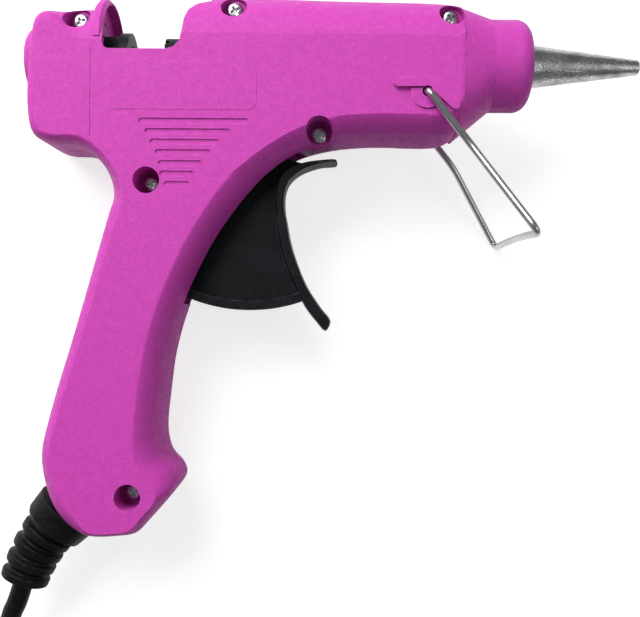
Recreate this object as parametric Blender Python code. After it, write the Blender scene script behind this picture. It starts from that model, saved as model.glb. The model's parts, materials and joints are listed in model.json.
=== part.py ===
"""Hot glue applicator lying on its side, with its wire stand open and its lead coiled beside it.

The gun is modelled in its own frame and then laid on the table.
X runs along the barrel to the nozzle, and is zero at the trigger's pivot.
Y is zero on the barrel's axis, and the handle runs down from it.
Z is zero on the parting plane, and the right-hand shell lies above it.
Places in the body are shares of its length and height, so they follow it when it changes.
"""

import bisect
import math

import bmesh
import bpy
from mathutils import Matrix, Vector

MM = 0.001

# The moulded body
BODY_LENGTH = 117.0 * MM
BODY_HEIGHT = 123.0 * MM
HALF_THICKNESS = 13.0 * MM
SIDE_HEIGHT = 8.0 * MM
WALL = 2.0 * MM
SEAM_GAP = 0.3 * MM
SEAT_GAP = 0.3 * MM
OVERRUN = 1.0 * MM
OUTER_STEPS = 2
INNER_STEPS = 1
ROUND_SIDES = 18
HOLE_SIDES = 12
SMOOTH_ANGLE = math.radians(32.0)

# Each row: the outline's x and y, the flat side's edge x and y, and how round the edge between is.
# The x shares follow BODY_LENGTH and the y shares BODY_HEIGHT.
BODY_SHARES = (
    (0.496, 0.073, 0.409, 0.053, 0.5),
    (0.472, 0.076, 0.402, 0.063, 0.6),
    (0.447, 0.080, 0.390, 0.067, 0.8),
    (0.419, 0.088, 0.372, 0.068, 1.0),
    (0.342, 0.095, 0.316, 0.072, 1.0),
    (0.138, 0.102, 0.137, 0.078, 1.0),
    (-0.051, 0.105, -0.051, 0.080, 1.0),
    (-0.205, 0.093, -0.205, 0.068, 1.0),
    (-0.325, 0.084, -0.321, 0.062, 1.0),
    (-0.386, 0.083, -0.374, 0.060, 1.0),
    (-0.411, 0.068, -0.394, 0.050, 1.0),
    (-0.421, 0.037, -0.403, 0.026, 1.0),
    (-0.428, -0.033, -0.407, -0.033, 1.0),
    (-0.428, -0.112, -0.407, -0.109, 1.0),
    (-0.417, -0.151, -0.399, -0.142, 1.0),
    (-0.388, -0.166, -0.378, -0.154, 1.0),
    (-0.328, -0.172, -0.316, -0.159, 0.8),
    (-0.287, -0.200, -0.273, -0.192, 0.6),
    (-0.267, -0.233, -0.247, -0.229, 0.3),
    (-0.262, -0.264, -0.238, -0.265, 0.2),
    (-0.272, -0.296, -0.245, -0.301, 0.0),
    (-0.333, -0.502, -0.307, -0.504, 0.0),
    (-0.385, -0.673, -0.359, -0.673, 0.0),
    (-0.400, -0.744, -0.375, -0.740, 0.0),
    (-0.392, -0.800, -0.368, -0.785, 0.3),
    (-0.373, -0.846, -0.350, -0.823, 0.5),
    (-0.341, -0.880, -0.326, -0.852, 0.5),
    (-0.308, -0.895, -0.299, -0.867, 0.5),
    (-0.248, -0.895, -0.244, -0.868, 0.5),
    (-0.215, -0.890, -0.223, -0.857, 0.3),
    (-0.185, -0.862, -0.207, -0.837, 0.0),
    (-0.142, -0.815, -0.184, -0.812, 0.0),
    (-0.134, -0.798, -0.183, -0.802, 0.0),
    (-0.142, -0.778, -0.194, -0.788, 0.0),
    (-0.164, -0.755, -0.210, -0.762, 0.0),
    (-0.175, -0.715, -0.217, -0.719, 0.0),
    (-0.169, -0.634, -0.210, -0.634, 0.0),
    (-0.157, -0.548, -0.197, -0.550, 0.0),
    (-0.123, -0.442, -0.164, -0.444, 0.0),
    (-0.063, -0.330, -0.105, -0.325, 0.0),
    (0.003, -0.246, -0.043, -0.239, 0.0),
    (0.048, -0.201, 0.000, -0.202, 0.0),
    (0.098, -0.170, 0.060, -0.161, 0.0),
    (0.167, -0.153, 0.141, -0.126, 0.0),
    (0.248, -0.146, 0.222, -0.115, 0.0),
    (0.383, -0.146, 0.368, -0.114, 0.0),
    (0.407, -0.139, 0.391, -0.109, 0.0),
    (0.448, -0.108, 0.405, -0.096, 0.0),
    (0.496, -0.076, 0.409, -0.073, 0.3),
)
INNER_SHRINK_SHARE = 0.4

# The window cut through the top of the barrel
WINDOW_SHARES = (
    (-0.271, 0.200),
    (-0.271, 0.012),
    (-0.268, 0.004),
    (-0.259, 0.001),
    (-0.158, 0.001),
    (-0.142, 0.005),
    (-0.130, 0.017),
    (-0.126, 0.035),
    (-0.123, 0.060),
    (-0.116, 0.080),
    (-0.101, 0.095),
    (-0.075, 0.105),
    (-0.070, 0.200),
)

# The raised lip along the window's rear edge
LIP_SHARES = (
    (-0.325, 0.055),
    (-0.318, 0.083),
    (-0.309, 0.099),
    (-0.298, 0.106),
    (-0.284, 0.108),
    (-0.274, 0.103),
    (-0.270, 0.092),
    (-0.268, 0.040),
)
LIP_FLAT_HALF = 8.0 * MM
LIP_END_HALF = 12.0 * MM
LIP_END_SHARE = 0.55

# Round collars at both ends of the barrel
NOSE_RADIUS = 11.0 * MM
NOSE_LENGTH = 11.5 * MM
NOSE_FRONT_SHARE = 0.571
NOSE_ROUNDING = 4.2 * MM
INLET_RADIUS = 8.6 * MM
INLET_REAR_SHARE = -0.447
INLET_LIP = 0.9 * MM
INLET_DEPTH = 7.5 * MM
STICK_CHANNEL_RADIUS = 4.1 * MM
INLET_BORE_RADIUS = 4.6 * MM

# The sliding tube, and the rear screw's place over it
CARRIAGE_RADIUS = 6.5 * MM
REAR_SCREW_SPACE = 1.99 * MM

# Case screws: x share, y share, and the outline of their bosses
SCREW_SHARES = (
    (-0.336, (CARRIAGE_RADIUS + REAR_SCREW_SPACE) / BODY_HEIGHT),
    (-0.029, 0.088),
    (0.394, 0.078),
    (0.139, -0.143),
    (-0.192, -0.238),
    (-0.224, -0.817),
)
SCREW_HEAD_RADIUS = 2.0 * MM
SCREW_HEAD_HEIGHT = 1.5 * MM
SCREW_HEAD_DEPTH = 6.4 * MM
SCREW_SHANK_RADIUS = 1.0 * MM
SCREW_LENGTH = 13.5 * MM
COUNTERBORE_RADIUS = 3.0 * MM
BOSS_WALL = 1.2 * MM

# Shallow grip grooves in both sides: left end, right end and height as shares
GROOVE_SHARES = (
    (-0.202, -0.002, -0.130),
    (-0.190, -0.037, -0.149),
    (-0.180, -0.058, -0.168),
    (-0.170, -0.074, -0.187),
    (-0.164, -0.090, -0.207),
    (-0.161, -0.106, -0.226),
    (-0.153, -0.113, -0.245),
)
GROOVE_WIDTH = 1.1 * MM
GROOVE_DEPTH = 0.5 * MM

# The stand's pivot, its stop rib and its boss
STAND_PIVOT_SHARES = (0.345, -0.074)
STOP_RIB_SHARES = ((0.288, -0.058), (0.350, -0.057), (0.398, -0.098))
STOP_RIB_WIDTH = 2.1 * MM
STOP_RIB_HEIGHT = 1.1 * MM
STAND_BOSS_RADIUS = 3.7 * MM
STAND_BOSS_HEIGHT = 0.5 * MM
STAND_BOSS_START = math.radians(-190.0)
STAND_BOSS_END = math.radians(10.0)
WIRE_RADIUS = 0.85 * MM
WIRE_BEND = 1.6 * MM
LEG_KINK_SHARES = (0.430, -0.176)
FOOT_SHARES = (0.5385, -0.3375)
FOOT_HALF_WIDTH = 24.0 * MM
FOOT_BEND = 3.4 * MM

# The trigger: its pivot, its reach to the lower rim, and its outline in shares of that reach
PIVOT_Y_SHARE = -0.1756
TRIGGER_REACH = 36.7 * MM
FINGER_FRONT_SHARES = (
    (0.561, -0.055), (0.502, -0.061), (0.409, -0.082), (0.317, -0.123),
    (0.257, -0.180), (0.231, -0.256), (0.228, -0.349), (0.243, -0.441),
    (0.280, -0.613), (0.368, -0.838), (0.462, -0.983), (0.525, -1.069),
)
FINGER_BACK_SHARES = (
    (0.491, -1.133), (0.430, -1.072), (0.353, -0.971), (0.244, -0.743),
    (0.195, -0.591), (0.172, -0.464), (0.165, -0.325), (0.171, -0.198),
    (0.198, -0.134), (0.258, -0.080), (0.347, -0.050), (0.448, -0.034),
    (0.556, -0.032),
)
FINGER_HALF_WIDTH = 4.5 * MM
FINGER_ROUNDING = 0.4 * MM
WEB_HALF_WIDTH = 1.5 * MM
RIM_HALF_WIDTH = 4.5 * MM
RIM_THICKNESS = 2.1 * MM
RIM_FRONT_ANGLE = math.radians(-68.0)
RIM_BACK_ANGLE = math.radians(-114.0)
TRIGGER_SWING = math.radians(25.0)
SLOT_CLEARANCE = 0.6 * MM
SLOT_END_CLEARANCE = 1.6 * MM
SLOT_FRONT_ANGLE = math.radians(-9.0)
HUB_RADIUS = 3.7 * MM
HUB_HALF_WIDTH = 6.0 * MM
PIN_RADIUS = 1.5 * MM
PIN_HALF_LENGTH = 10.2 * MM
PIN_BOSS_RADIUS = 3.3 * MM

# The trigger's upper arm drives the feed carriage
ARM_TIP_DEPTH = 2.48 * MM
ARM_TIP_RADIUS = 1.5 * MM
ARM_NECK_WIDTH = 1.6 * MM
ARM_HALF_WIDTH = 2.0 * MM
FORK_GAP = 0.35 * MM

# The feed carriage and its gripping jaw
CARRIAGE_REAR_SHARE = -0.408
CARRIAGE_FRONT_SHARE = -0.240
CARRIAGE_RING_RADIUS = 7.1 * MM
CARRIAGE_RING_LENGTH = 2.2 * MM
KEEL_TOP_SHARE = 0.8
BAR_TOP = 7.4 * MM
BAR_DEPTH = 5.4 * MM
BAR_HALF_WIDTH = 3.0 * MM
BAR_FRONT = 4.0 * MM
JAW_PIVOT_SHARE = -0.355
JAW_PIVOT_DEPTH = 2.56 * MM
JAW_HALF_WIDTH = 1.3 * MM
JAW_HUB_RADIUS = 1.9 * MM
JAW_PIN_RADIUS = 0.75 * MM
JAW_LENGTH = 6.5 * MM
JAW_TIP_DEPTH = 0.45 * MM
JAW_THICKNESS = 1.7 * MM
JAW_TEETH = 3

# The fixed guide in front of the carriage
GUIDE_RADIUS = 5.9 * MM
GUIDE_REAR_SHARE = -0.170
GUIDE_STEP_SHARE = 0.044
GUIDE_FRONT_SHARE = 0.120
GUIDE_FLANGE_RADIUS = 7.0 * MM
GUIDE_FLANGE_LENGTH = 1.6 * MM
CROWN_TEETH = 16
CROWN_DEPTH = 0.9 * MM

# The silicone sleeve and the heated casting with its nozzle
SPIGOT_RADIUS = 5.2 * MM
SLEEVE_WALL = 1.4 * MM
SLEEVE_REAR_SHARE = 0.068
SLEEVE_FRONT_SHARE = 0.212
SLEEVE_CLAMP_WALL = 0.8 * MM
SLEEVE_CLAMP_WIDTH = 3.0 * MM
SLEEVE_CLAMP_SHARE = 0.180
CHAMBER_REAR_SHARE = 0.152
CHAMBER_STEP_SHARE = 0.219
CHAMBER_FRONT_SHARE = 0.518
CHAMBER_RADIUS = 6.6 * MM
NECK_RADIUS = 5.1 * MM
NOZZLE_LENGTH = 25.4 * MM
NOZZLE_TIP_RADIUS = 1.8 * MM
NOZZLE_TIP_CHAMFER = 0.5 * MM
ORIFICE_RADIUS = 0.8 * MM
ORIFICE_LENGTH = 9.0 * MM

# The heater's pocket under the casting, and the stack in it
POCKET_REAR_SHARE = 0.262
POCKET_LENGTH = 24.0 * MM
POCKET_HALF_WIDTH = 4.9 * MM
POCKET_WALL = 1.0 * MM
POCKET_HEIGHT = 4.4 * MM
INSULATOR_WALL = 0.35 * MM
CERAMIC_THICKNESS = 1.5 * MM
CERAMIC_LENGTH = 17.0 * MM
ELECTRODE_THICKNESS = 0.3 * MM
ELECTRODE_TAB = 6.0 * MM
STACK_GAP = 0.15 * MM

# Ribs inside the barrel: their place as a share, and how far down they reach as a share
RIB_SHARES = (
    (-0.372, -0.100),
    (-0.105, -0.108),
    (0.028, -0.108),
    (0.152, -0.116),
    (0.243, -0.088),
    (0.488, -0.074),
)
RIB_THICKNESS = 1.6 * MM
LEAD_CHANNEL_SHARES = (-0.050, 0.480, -0.108, -0.084)
LEAD_CHANNEL_INSIDE = 7.0 * MM
LEAD_CHANNEL_WIDTH = 3.0 * MM

# The return spring in front of the carriage's bar
SPRING_RADIUS = 1.9 * MM
SPRING_WIRE_RADIUS = 0.3 * MM
SPRING_TURNS = 6
SPRING_POINTS = 8

# The strain relief at the foot of the handle, along a curve
RELIEF_START_SHARES = (-0.3650, -0.8614)
RELIEF_CONTROL_SHARES = (-0.4282, -0.9171)
RELIEF_END_SHARES = (-0.4556, -1.0000)
RELIEF_FLANGE_RADIUS = 8.0 * MM
RELIEF_FLANGE_TAPER = 0.6 * MM
RELIEF_FLANGE_LENGTH = 5.5 * MM
RELIEF_BODY_RADIUS = 6.4 * MM
RELIEF_TIP_RADIUS = 5.6 * MM
RELIEF_MOUTH_RADIUS = 3.9 * MM
RELIEF_GROOVE_DEPTH = 1.2 * MM
RELIEF_RIBS = 4
RELIEF_NECK_RADIUS = 4.3 * MM
RELIEF_INNER_RADIUS = 5.6 * MM
RELIEF_INNER_LENGTH = 2.2 * MM

# The lead inside the handle and its clamp
CORD_RADIUS = 2.35 * MM
INNER_CORD_CONTROL = 7.0 * MM
INNER_CORD_END_SHARES = (-0.2850, -0.6900)
CLAMP_FROM_END = 3.3 * MM
CLAMP_LENGTH = 15.0 * MM
CLAMP_WIDTH = 4.6 * MM
CLAMP_THICKNESS = 1.6 * MM
CLAMP_SCREW_SPACING = 10.4 * MM
CLAMP_POST_RADIUS = 2.1 * MM
CLAMP_SCREW_RADIUS = 0.75 * MM
CLAMP_SCREW_HEAD = 1.7 * MM
CLAMP_SCREW_LENGTH = 8.0 * MM
LEAD_RADIUS = 0.7 * MM
# Each point of a wire: shares of the length, the height and the half thickness
LEAD_ROUTE_SHARES = (
    (0.196, -0.098, 0.654),
    (0.140, -0.098, 0.654),
    (0.040, -0.103, 0.654),
    (-0.060, -0.160, 0.638),
    (-0.125, -0.260, 0.600),
    (-0.180, -0.400, 0.569),
    (-0.230, -0.550, 0.508),
    (-0.268, -0.635, 0.338),
    (-0.284, -0.682, 0.100),
)

# The free cord on the table, in table coordinates, and its coil
CORD_ROUTE = (
    (-73.1 * MM, -76.5 * MM, 10.0 * MM),
    (-73.8 * MM, -84.0 * MM, 7.0 * MM),
    (-74.2 * MM, -92.5 * MM, 4.3 * MM),
    (-74.5 * MM, -101.0 * MM, 2.8 * MM),
    (-74.6 * MM, -110.0 * MM, 2.4 * MM),
    (-74.6 * MM, -119.0 * MM, 2.35 * MM),
)
COIL_OUTER_RADIUS = 37.0 * MM
COIL_SPACE = 0.5 * MM
COIL_TURNS = 7
COIL_STEPS = 24
COIL_TAIL = 26.0 * MM

# The mains plug on the table
PLUG_LENGTH = 30.0 * MM
PLUG_HALF_WIDTH = 12.0 * MM
PLUG_NECK_HALF = 4.2 * MM
BLADE_LENGTH = 17.0 * MM
BLADE_WIDTH = 6.3 * MM
BLADE_THICKNESS = 1.5 * MM
BLADE_SPACING = 12.7 * MM

PIVOT = Vector((0.0, PIVOT_Y_SHARE * BODY_HEIGHT, 0.0))


# Building blocks


def place(x_share, y_share, z=0.0):
    """Return a point of the body from its shares of the length and the height."""
    return Vector((x_share * BODY_LENGTH, y_share * BODY_HEIGHT, z))


def along(x_share):
    """Return the place along the barrel of a share of the body's length."""
    return x_share * BODY_LENGTH


def spline(points, steps, closed):
    """Return points along a centripetal Catmull-Rom curve through tuples of any size."""
    if closed:
        ring = [points[-1], *points, points[0], points[1]]
    else:
        ring = [mirrored_end(points[1], points[0]), *points, mirrored_end(points[-2], points[-1])]
    smooth = []
    for four in zip(ring, ring[1:], ring[2:], ring[3:]):
        knots = [0.0]
        for low, high in zip(four, four[1:]):
            knots.append(knots[-1] + math.sqrt(math.dist(low[:3], high[:3])))
        for step in range(steps):
            t = knots[1] + (knots[2] - knots[1]) * step / steps
            level = list(four)
            for depth in (1, 2, 3):
                level = [
                    blend_between(level[i], level[i + 1], *span_knots(knots, i, depth), t)
                    for i in range(4 - depth)
                ]
            smooth.append(level[0])
    if not closed:
        smooth.append(tuple(points[-1]))
    return smooth


def mirrored_end(inner, end):
    """Return the point as far beyond a curve's end as the next point lies before it."""
    return tuple(2 * b - a for a, b in zip(inner, end))


def span_knots(knots, index, depth):
    """Return the two knots that one step of the curve's scheme works between."""
    if depth == 1:
        return knots[index], knots[index + 1]
    if depth == 2:
        return knots[index], knots[index + 2]
    return knots[1], knots[2]


def blend_between(low, high, low_knot, high_knot, t):
    """Return the tuple between two tuples at the parameter t."""
    share = (t - low_knot) / (high_knot - low_knot)
    return tuple(a + (b - a) * share for a, b in zip(low, high))


def arc(centre, radius, start, end, steps):
    """Return points on an arc about a 2-D centre, both ends included."""
    points = []
    for step in range(steps + 1):
        angle = start + (end - start) * step / steps
        points.append((centre[0] + radius * math.cos(angle), centre[1] + radius * math.sin(angle)))
    return points


def object_from(name, build):
    """Return a new linked object whose mesh is the closed form in the bmesh."""
    bmesh.ops.recalc_face_normals(build, faces=build.faces)
    mesh = bpy.data.meshes.new(name)
    build.to_mesh(mesh)
    build.free()
    made = bpy.data.objects.new(name, mesh)
    bpy.context.scene.collection.objects.link(made)
    return made


def loft(name, rings, joined=False):
    """Return an object bridged over rings of as many points each, its ends capped or joined."""
    build = bmesh.new()
    rows = [[build.verts.new(point) for point in ring] for ring in rings]
    count = len(rows[0])
    pairs = list(zip(rows, rows[1:]))
    if joined:
        pairs.append((rows[-1], rows[0]))
    for low, high in pairs:
        for i in range(count):
            j = (i + 1) % count
            build.faces.new((low[i], low[j], high[j], high[i]))
    if not joined:
        build.faces.new(rows[0])
        build.faces.new(rows[-1])
    return object_from(name, build)


def prism(name, outline, low, high):
    """Return a 2-D outline drawn up from one height to another."""
    return loft(name, [[Vector((x, y, z)) for x, y in outline] for z in (low, high)])


def box(name, low, high):
    """Return a block between two corners."""
    outline = ((low[0], low[1]), (high[0], low[1]), (high[0], high[1]), (low[0], high[1]))
    return prism(name, outline, low[2], high[2])


def turned(name, profile, frame=None, sides=ROUND_SIDES, hollow=False):
    """Return a profile of places along the frame's X axis and radii, turned about it."""
    frame = frame or Matrix.Identity(4)
    build = bmesh.new()
    rows = []
    for along_axis, radius in profile:
        if radius == 0.0:
            rows.append([build.verts.new(frame @ Vector((along_axis, 0.0, 0.0)))])
            continue
        ring = []
        for side in range(sides):
            angle = math.tau * side / sides
            point = Vector((along_axis, radius * math.cos(angle), radius * math.sin(angle)))
            ring.append(build.verts.new(frame @ point))
        rows.append(ring)
    pairs = list(zip(rows, rows[1:]))
    if hollow:
        pairs.append((rows[-1], rows[0]))
    for low, high in pairs:
        for i in range(sides):
            j = (i + 1) % sides
            if len(low) == 1:
                build.faces.new((low[0], high[j], high[i]))
            elif len(high) == 1:
                build.faces.new((low[i], low[j], high[0]))
            else:
                build.faces.new((low[i], low[j], high[j], high[i]))
    if not hollow:
        for ring in (rows[0], rows[-1]):
            if len(ring) > 1:
                build.faces.new(ring)
    return object_from(name, build)


def aimed(point, direction):
    """Return a frame at a point whose X axis runs along a direction."""
    turn = Vector((1.0, 0.0, 0.0)).rotation_difference(Vector(direction)).to_matrix().to_4x4()
    return Matrix.Translation(point) @ turn


def rod(name, start, end, radius, sides=ROUND_SIDES):
    """Return a cylinder between two points."""
    start = Vector(start)
    reach = Vector(end) - start
    profile = ((0.0, radius), (reach.length, radius))
    return turned(name, profile, aimed(start, reach), sides)


def sweep(name, path, radii, sides):
    """Return a round bar along a path of points, with a radius at each point."""
    build = bmesh.new()
    path = [Vector(point) for point in path]
    tangents = []
    for i, point in enumerate(path):
        ahead = path[min(i + 1, len(path) - 1)]
        behind = path[max(i - 1, 0)]
        tangents.append((ahead - behind).normalized())
    normal = tangents[0].orthogonal().normalized()
    rows = []
    for i, point in enumerate(path):
        if i:
            normal = tangents[i - 1].rotation_difference(tangents[i]) @ normal
        side = tangents[i].cross(normal)
        ring = []
        for step in range(sides):
            angle = math.tau * step / sides
            out = normal * math.cos(angle) + side * math.sin(angle)
            ring.append(build.verts.new(point + out * radii[i]))
        rows.append(ring)
    for low, high in zip(rows, rows[1:]):
        for i in range(sides):
            j = (i + 1) % sides
            build.faces.new((low[i], low[j], high[j], high[i]))
    build.faces.new(rows[0])
    build.faces.new(rows[-1])
    return object_from(name, build)


def bent(points, radii, steps):
    """Return a path through corner points, each corner drawn as a curve of its own radius."""
    points = [Vector(point) for point in points]
    path = [points[0]]
    for before, corner, after, radius in zip(points, points[1:], points[2:], radii):
        start = corner + (before - corner).normalized() * radius
        end = corner + (after - corner).normalized() * radius
        for step in range(steps + 1):
            t = step / steps
            path.append(start.lerp(corner, t).lerp(corner.lerp(end, t), t))
    path.append(points[-1])
    return path


def combine(target, tool, operation):
    """Apply one Boolean to the target and remove the tool."""
    modifier = target.modifiers.new(operation, "BOOLEAN")
    modifier.operation = operation
    modifier.solver = "EXACT"
    modifier.object = tool
    graph = bpy.context.evaluated_depsgraph_get()
    mesh = bpy.data.meshes.new_from_object(target.evaluated_get(graph))
    target.modifiers.clear()
    target.data = mesh
    bpy.data.objects.remove(tool)
    return target


def add(target, *tools):
    """Join each tool to the target."""
    for tool in tools:
        combine(target, tool, "UNION")
    return target


def cut(target, *tools):
    """Take each tool away from the target."""
    for tool in tools:
        combine(target, tool, "DIFFERENCE")
    return target


def mirrored(piece):
    """Turn a piece into its mirror image across the parting plane."""
    build = bmesh.new()
    build.from_mesh(piece.data)
    bmesh.ops.scale(build, vec=(1.0, 1.0, -1.0), verts=build.verts)
    bmesh.ops.reverse_faces(build, faces=build.faces)
    build.to_mesh(piece.data)
    build.free()
    return piece


def material(name, colour, roughness, metallic=0.0):
    """Return a Principled material."""
    made = bpy.data.materials.new(name)
    made.use_nodes = True
    shader = made.node_tree.nodes["Principled BSDF"]
    shader.inputs["Base Color"].default_value = (*colour, 1.0)
    shader.inputs["Roughness"].default_value = roughness
    shader.inputs["Metallic"].default_value = metallic
    return made


def finish(piece, name, look, parent, origin=None):
    """Name a piece, give it its material, put its origin in place and hang it on its parent."""
    piece.name = name
    piece.data.name = name
    piece.data.materials.clear()
    piece.data.materials.append(look)
    if origin is not None:
        piece.data.transform(Matrix.Translation(-origin))
        piece.location = origin
    piece.data.shade_smooth()
    piece.data.set_sharp_from_angle(angle=SMOOTH_ANGLE)
    piece.parent = parent
    return piece


# The housing


def body_rings(inset, bottom, rounds, steps):
    """Return the rings of the body's half form, drawn in by an inset from its surface."""
    rows = [
        (*place(row[0], row[1])[:2], 0.0, *place(row[2], row[3])[:2], row[4])
        for row in BODY_SHARES
    ]
    stations = []
    for sx, sy, _, fx, fy, roundness in spline(rows, steps, closed=True):
        side, flat = Vector((sx, sy)), Vector((fx, fy))
        inward = (flat - side).normalized()
        stations.append((side + inward * inset, flat + inward * inset * INNER_SHRINK_SHARE, roundness))
    ledge = SIDE_HEIGHT - inset * INNER_SHRINK_SHARE
    rise = HALF_THICKNESS - inset - ledge
    rings = [[Vector((*side, bottom)) for side, _, _ in stations]]
    for step in range(rounds + 1):
        t = step / rounds
        ring = []
        for side, flat, roundness in stations:
            up = t + (math.sin(t * math.pi / 2) - t) * roundness
            across = t + (1.0 - math.cos(t * math.pi / 2) - t) * roundness
            point = side.lerp(flat, across)
            ring.append(Vector((*point, ledge + rise * up)))
        rings.append(ring)
    return rings


def band(points, width):
    """Return the outline of a band of one width along 2-D points, with round ends."""
    half = width / 2
    points = [Vector(point) for point in points]
    left, right = [], []
    for i, point in enumerate(points):
        before = points[i] - points[i - 1] if i else points[1] - points[0]
        after = points[i + 1] - points[i] if i + 1 < len(points) else before
        before.normalize()
        after.normalize()
        middle = (before + after).normalized()
        side = Vector((-middle.y, middle.x)) * half / middle.dot(after)
        left.append(point + side)
        right.append(point - side)
    start = points[0] - points[1]
    end = points[-1] - points[-2]
    end_angle = math.atan2(end.y, end.x)
    start_angle = math.atan2(start.y, start.x)
    outline = [tuple(p) for p in right[:-1]]
    outline += arc(points[-1], half, end_angle - math.pi / 2, end_angle + math.pi / 2, 6)
    outline += [tuple(p) for p in reversed(left[1:-1])]
    outline += arc(points[0], half, start_angle - math.pi / 2, start_angle + math.pi / 2, 6)
    return outline[1:]


def slot_outline():
    """Return the fan that the trigger's web and rim sweep, with its clearance."""
    radius = TRIGGER_REACH + SLOT_END_CLEARANCE
    margin = SLOT_CLEARANCE * 4 / TRIGGER_REACH
    low = RIM_BACK_ANGLE - TRIGGER_SWING - margin
    top = SLOT_FRONT_ANGLE
    hub = HUB_RADIUS + SLOT_CLEARANCE
    fan = arc((PIVOT.x, PIVOT.y), radius, low, top, 24)
    back = arc((PIVOT.x, PIVOT.y), hub, top + math.pi / 2, low - math.pi / 2 + math.tau, 10)
    return fan + back


def relief_axis():
    """Return the start of the strain relief's curve and its direction there, out of the handle."""
    start = place(*RELIEF_START_SHARES)
    return start, (place(*RELIEF_CONTROL_SHARES) - start).normalized()


def inner_cord_corners():
    """Return the start, the corner and the end of the lead's curve inside the handle."""
    start, out = relief_axis()
    base = start - out * (WALL + SEAT_GAP * 2 + RELIEF_INNER_LENGTH)
    return base, base - out * INNER_CORD_CONTROL, place(*INNER_CORD_END_SHARES)


def clamp_frame():
    """Return the point on the inner cord where its clamp sits, and the cord's direction there."""
    _, corner, end = inner_cord_corners()
    along = (end - corner).normalized()
    return end - along * CLAMP_FROM_END, along


def guide_profile():
    """Return the clearance profile around the pieces that lie on the barrel's axis."""
    clear = SEAT_GAP
    sleeve = SPIGOT_RADIUS + SEAT_GAP + SLEEVE_WALL + clear
    return (
        (along(CARRIAGE_REAR_SHARE) - OVERRUN, 0.0),
        (along(CARRIAGE_REAR_SHARE) - OVERRUN, CARRIAGE_RADIUS + clear),
        (along(GUIDE_REAR_SHARE), CARRIAGE_RADIUS + clear),
        (along(GUIDE_REAR_SHARE), GUIDE_RADIUS + clear),
        (along(SLEEVE_REAR_SHARE), GUIDE_RADIUS + clear),
        (along(SLEEVE_REAR_SHARE), sleeve),
        (along(CHAMBER_STEP_SHARE), sleeve),
        (along(CHAMBER_STEP_SHARE), CHAMBER_RADIUS + clear),
        (along(CHAMBER_FRONT_SHARE) + clear, CHAMBER_RADIUS + clear),
        (along(CHAMBER_FRONT_SHARE) + clear, NECK_RADIUS + clear),
        (along(NOSE_FRONT_SHARE) + OVERRUN, NECK_RADIUS + clear),
        (along(NOSE_FRONT_SHARE) + OVERRUN, 0.0),
    )


def inner_supports():
    """Return the bosses and ribs of one half as one solid, still in their full outline."""
    low = SEAM_GAP / 2
    boss = COUNTERBORE_RADIUS + BOSS_WALL
    up = Vector((0.0, 0.0, 1.0))
    start = HUB_HALF_WIDTH + SEAT_GAP
    supports = rod("post", PIVOT + up * start, PIVOT + up * HALF_THICKNESS, PIN_BOSS_RADIUS)
    for x_share, y_share in SCREW_SHARES:
        at = place(x_share, y_share)
        add(supports, rod("post", at + up * low, at + up * HALF_THICKNESS, boss))
    half = RIB_THICKNESS / 2
    for x_share, y_share in RIB_SHARES:
        at = place(x_share, y_share)
        rib = box("rib", (at.x - half, at.y, low), (at.x + half, BODY_HEIGHT, HALF_THICKNESS))
        add(supports, rib)
    return supports


def shell_half(right):
    """Return one moulded half of the body, the right one with the screw heads' holes."""
    low = SEAM_GAP / 2
    shell = loft("shell", body_rings(0.0, low, 3, OUTER_STEPS))
    cut(shell, loft("cavity", body_rings(WALL, -OVERRUN, 2, INNER_STEPS)))
    supports = inner_supports()
    combine(supports, loft("limit", body_rings(WALL / 2, -OVERRUN, 2, INNER_STEPS)), "INTERSECT")
    add(shell, supports)
    add(shell, nose_collar(), inlet_dome(), window_lip(), stop_rib(), stand_boss())
    if not right:
        add(shell, *clamp_posts())
    deep = BODY_HEIGHT
    cut(shell, box("below", (-deep, -deep, -deep), (deep, deep, low)))
    cut(shell, turned("channel", guide_profile()))
    rear = along(INLET_REAR_SHARE) - OVERRUN
    cut(shell, rod("inlet", (rear, 0, 0), (along(CARRIAGE_REAR_SHARE), 0, 0), INLET_BORE_RADIUS))
    window = [tuple(place(*row)[:2]) for row in WINDOW_SHARES]
    cut(shell, prism("window", window, -OVERRUN, HALF_THICKNESS + OVERRUN))
    cut(shell, prism("slot", slot_outline(), -OVERRUN, RIM_HALF_WIDTH + SLOT_CLEARANCE))
    cut(shell, bar_channel(), spring_channel(), lead_channel(), heater_channel())
    for x_share, y_share in SCREW_SHARES:
        cut(shell, *screw_hole(place(x_share, y_share), right))
    up = Vector((0.0, 0.0, 1.0))
    pin_end = PIVOT + up * (PIN_HALF_LENGTH + SEAT_GAP)
    cut(shell, rod("socket", PIVOT - up * OVERRUN, pin_end, PIN_RADIUS + SEAT_GAP))
    at = place(*STAND_PIVOT_SHARES)
    reach = up * (HALF_THICKNESS + STAND_BOSS_HEIGHT + OVERRUN)
    cut(shell, rod("wire_hole", at + reach * 0.5, at + reach, WIRE_RADIUS + SEAT_GAP, 16))
    for groove in GROOVE_SHARES:
        left, right_end, y_share = groove
        ends = (place(left, y_share)[:2], place(right_end, y_share)[:2])
        outline = band(ends, GROOVE_WIDTH)
        cut(shell, prism("groove", outline, HALF_THICKNESS - GROOVE_DEPTH, HALF_THICKNESS + OVERRUN))
    start, out = relief_axis()
    seat = start - out * SEAT_GAP
    beyond = seat + out * RELIEF_FLANGE_LENGTH * 3
    cut(shell, rod("seat", seat, beyond, RELIEF_FLANGE_RADIUS + SEAT_GAP))
    inner = start - out * (WALL + RELIEF_INNER_LENGTH + SEAT_GAP * 2)
    cut(shell, rod("neck_hole", start + out * OVERRUN, inner, RELIEF_NECK_RADIUS + SEAT_GAP))
    pocket_start = start - out * (WALL + SEAT_GAP)
    cut(shell, rod("collar_space", pocket_start, inner - out * SEAT_GAP, RELIEF_INNER_RADIUS + SEAT_GAP))
    return shell if right else mirrored(shell)


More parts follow.
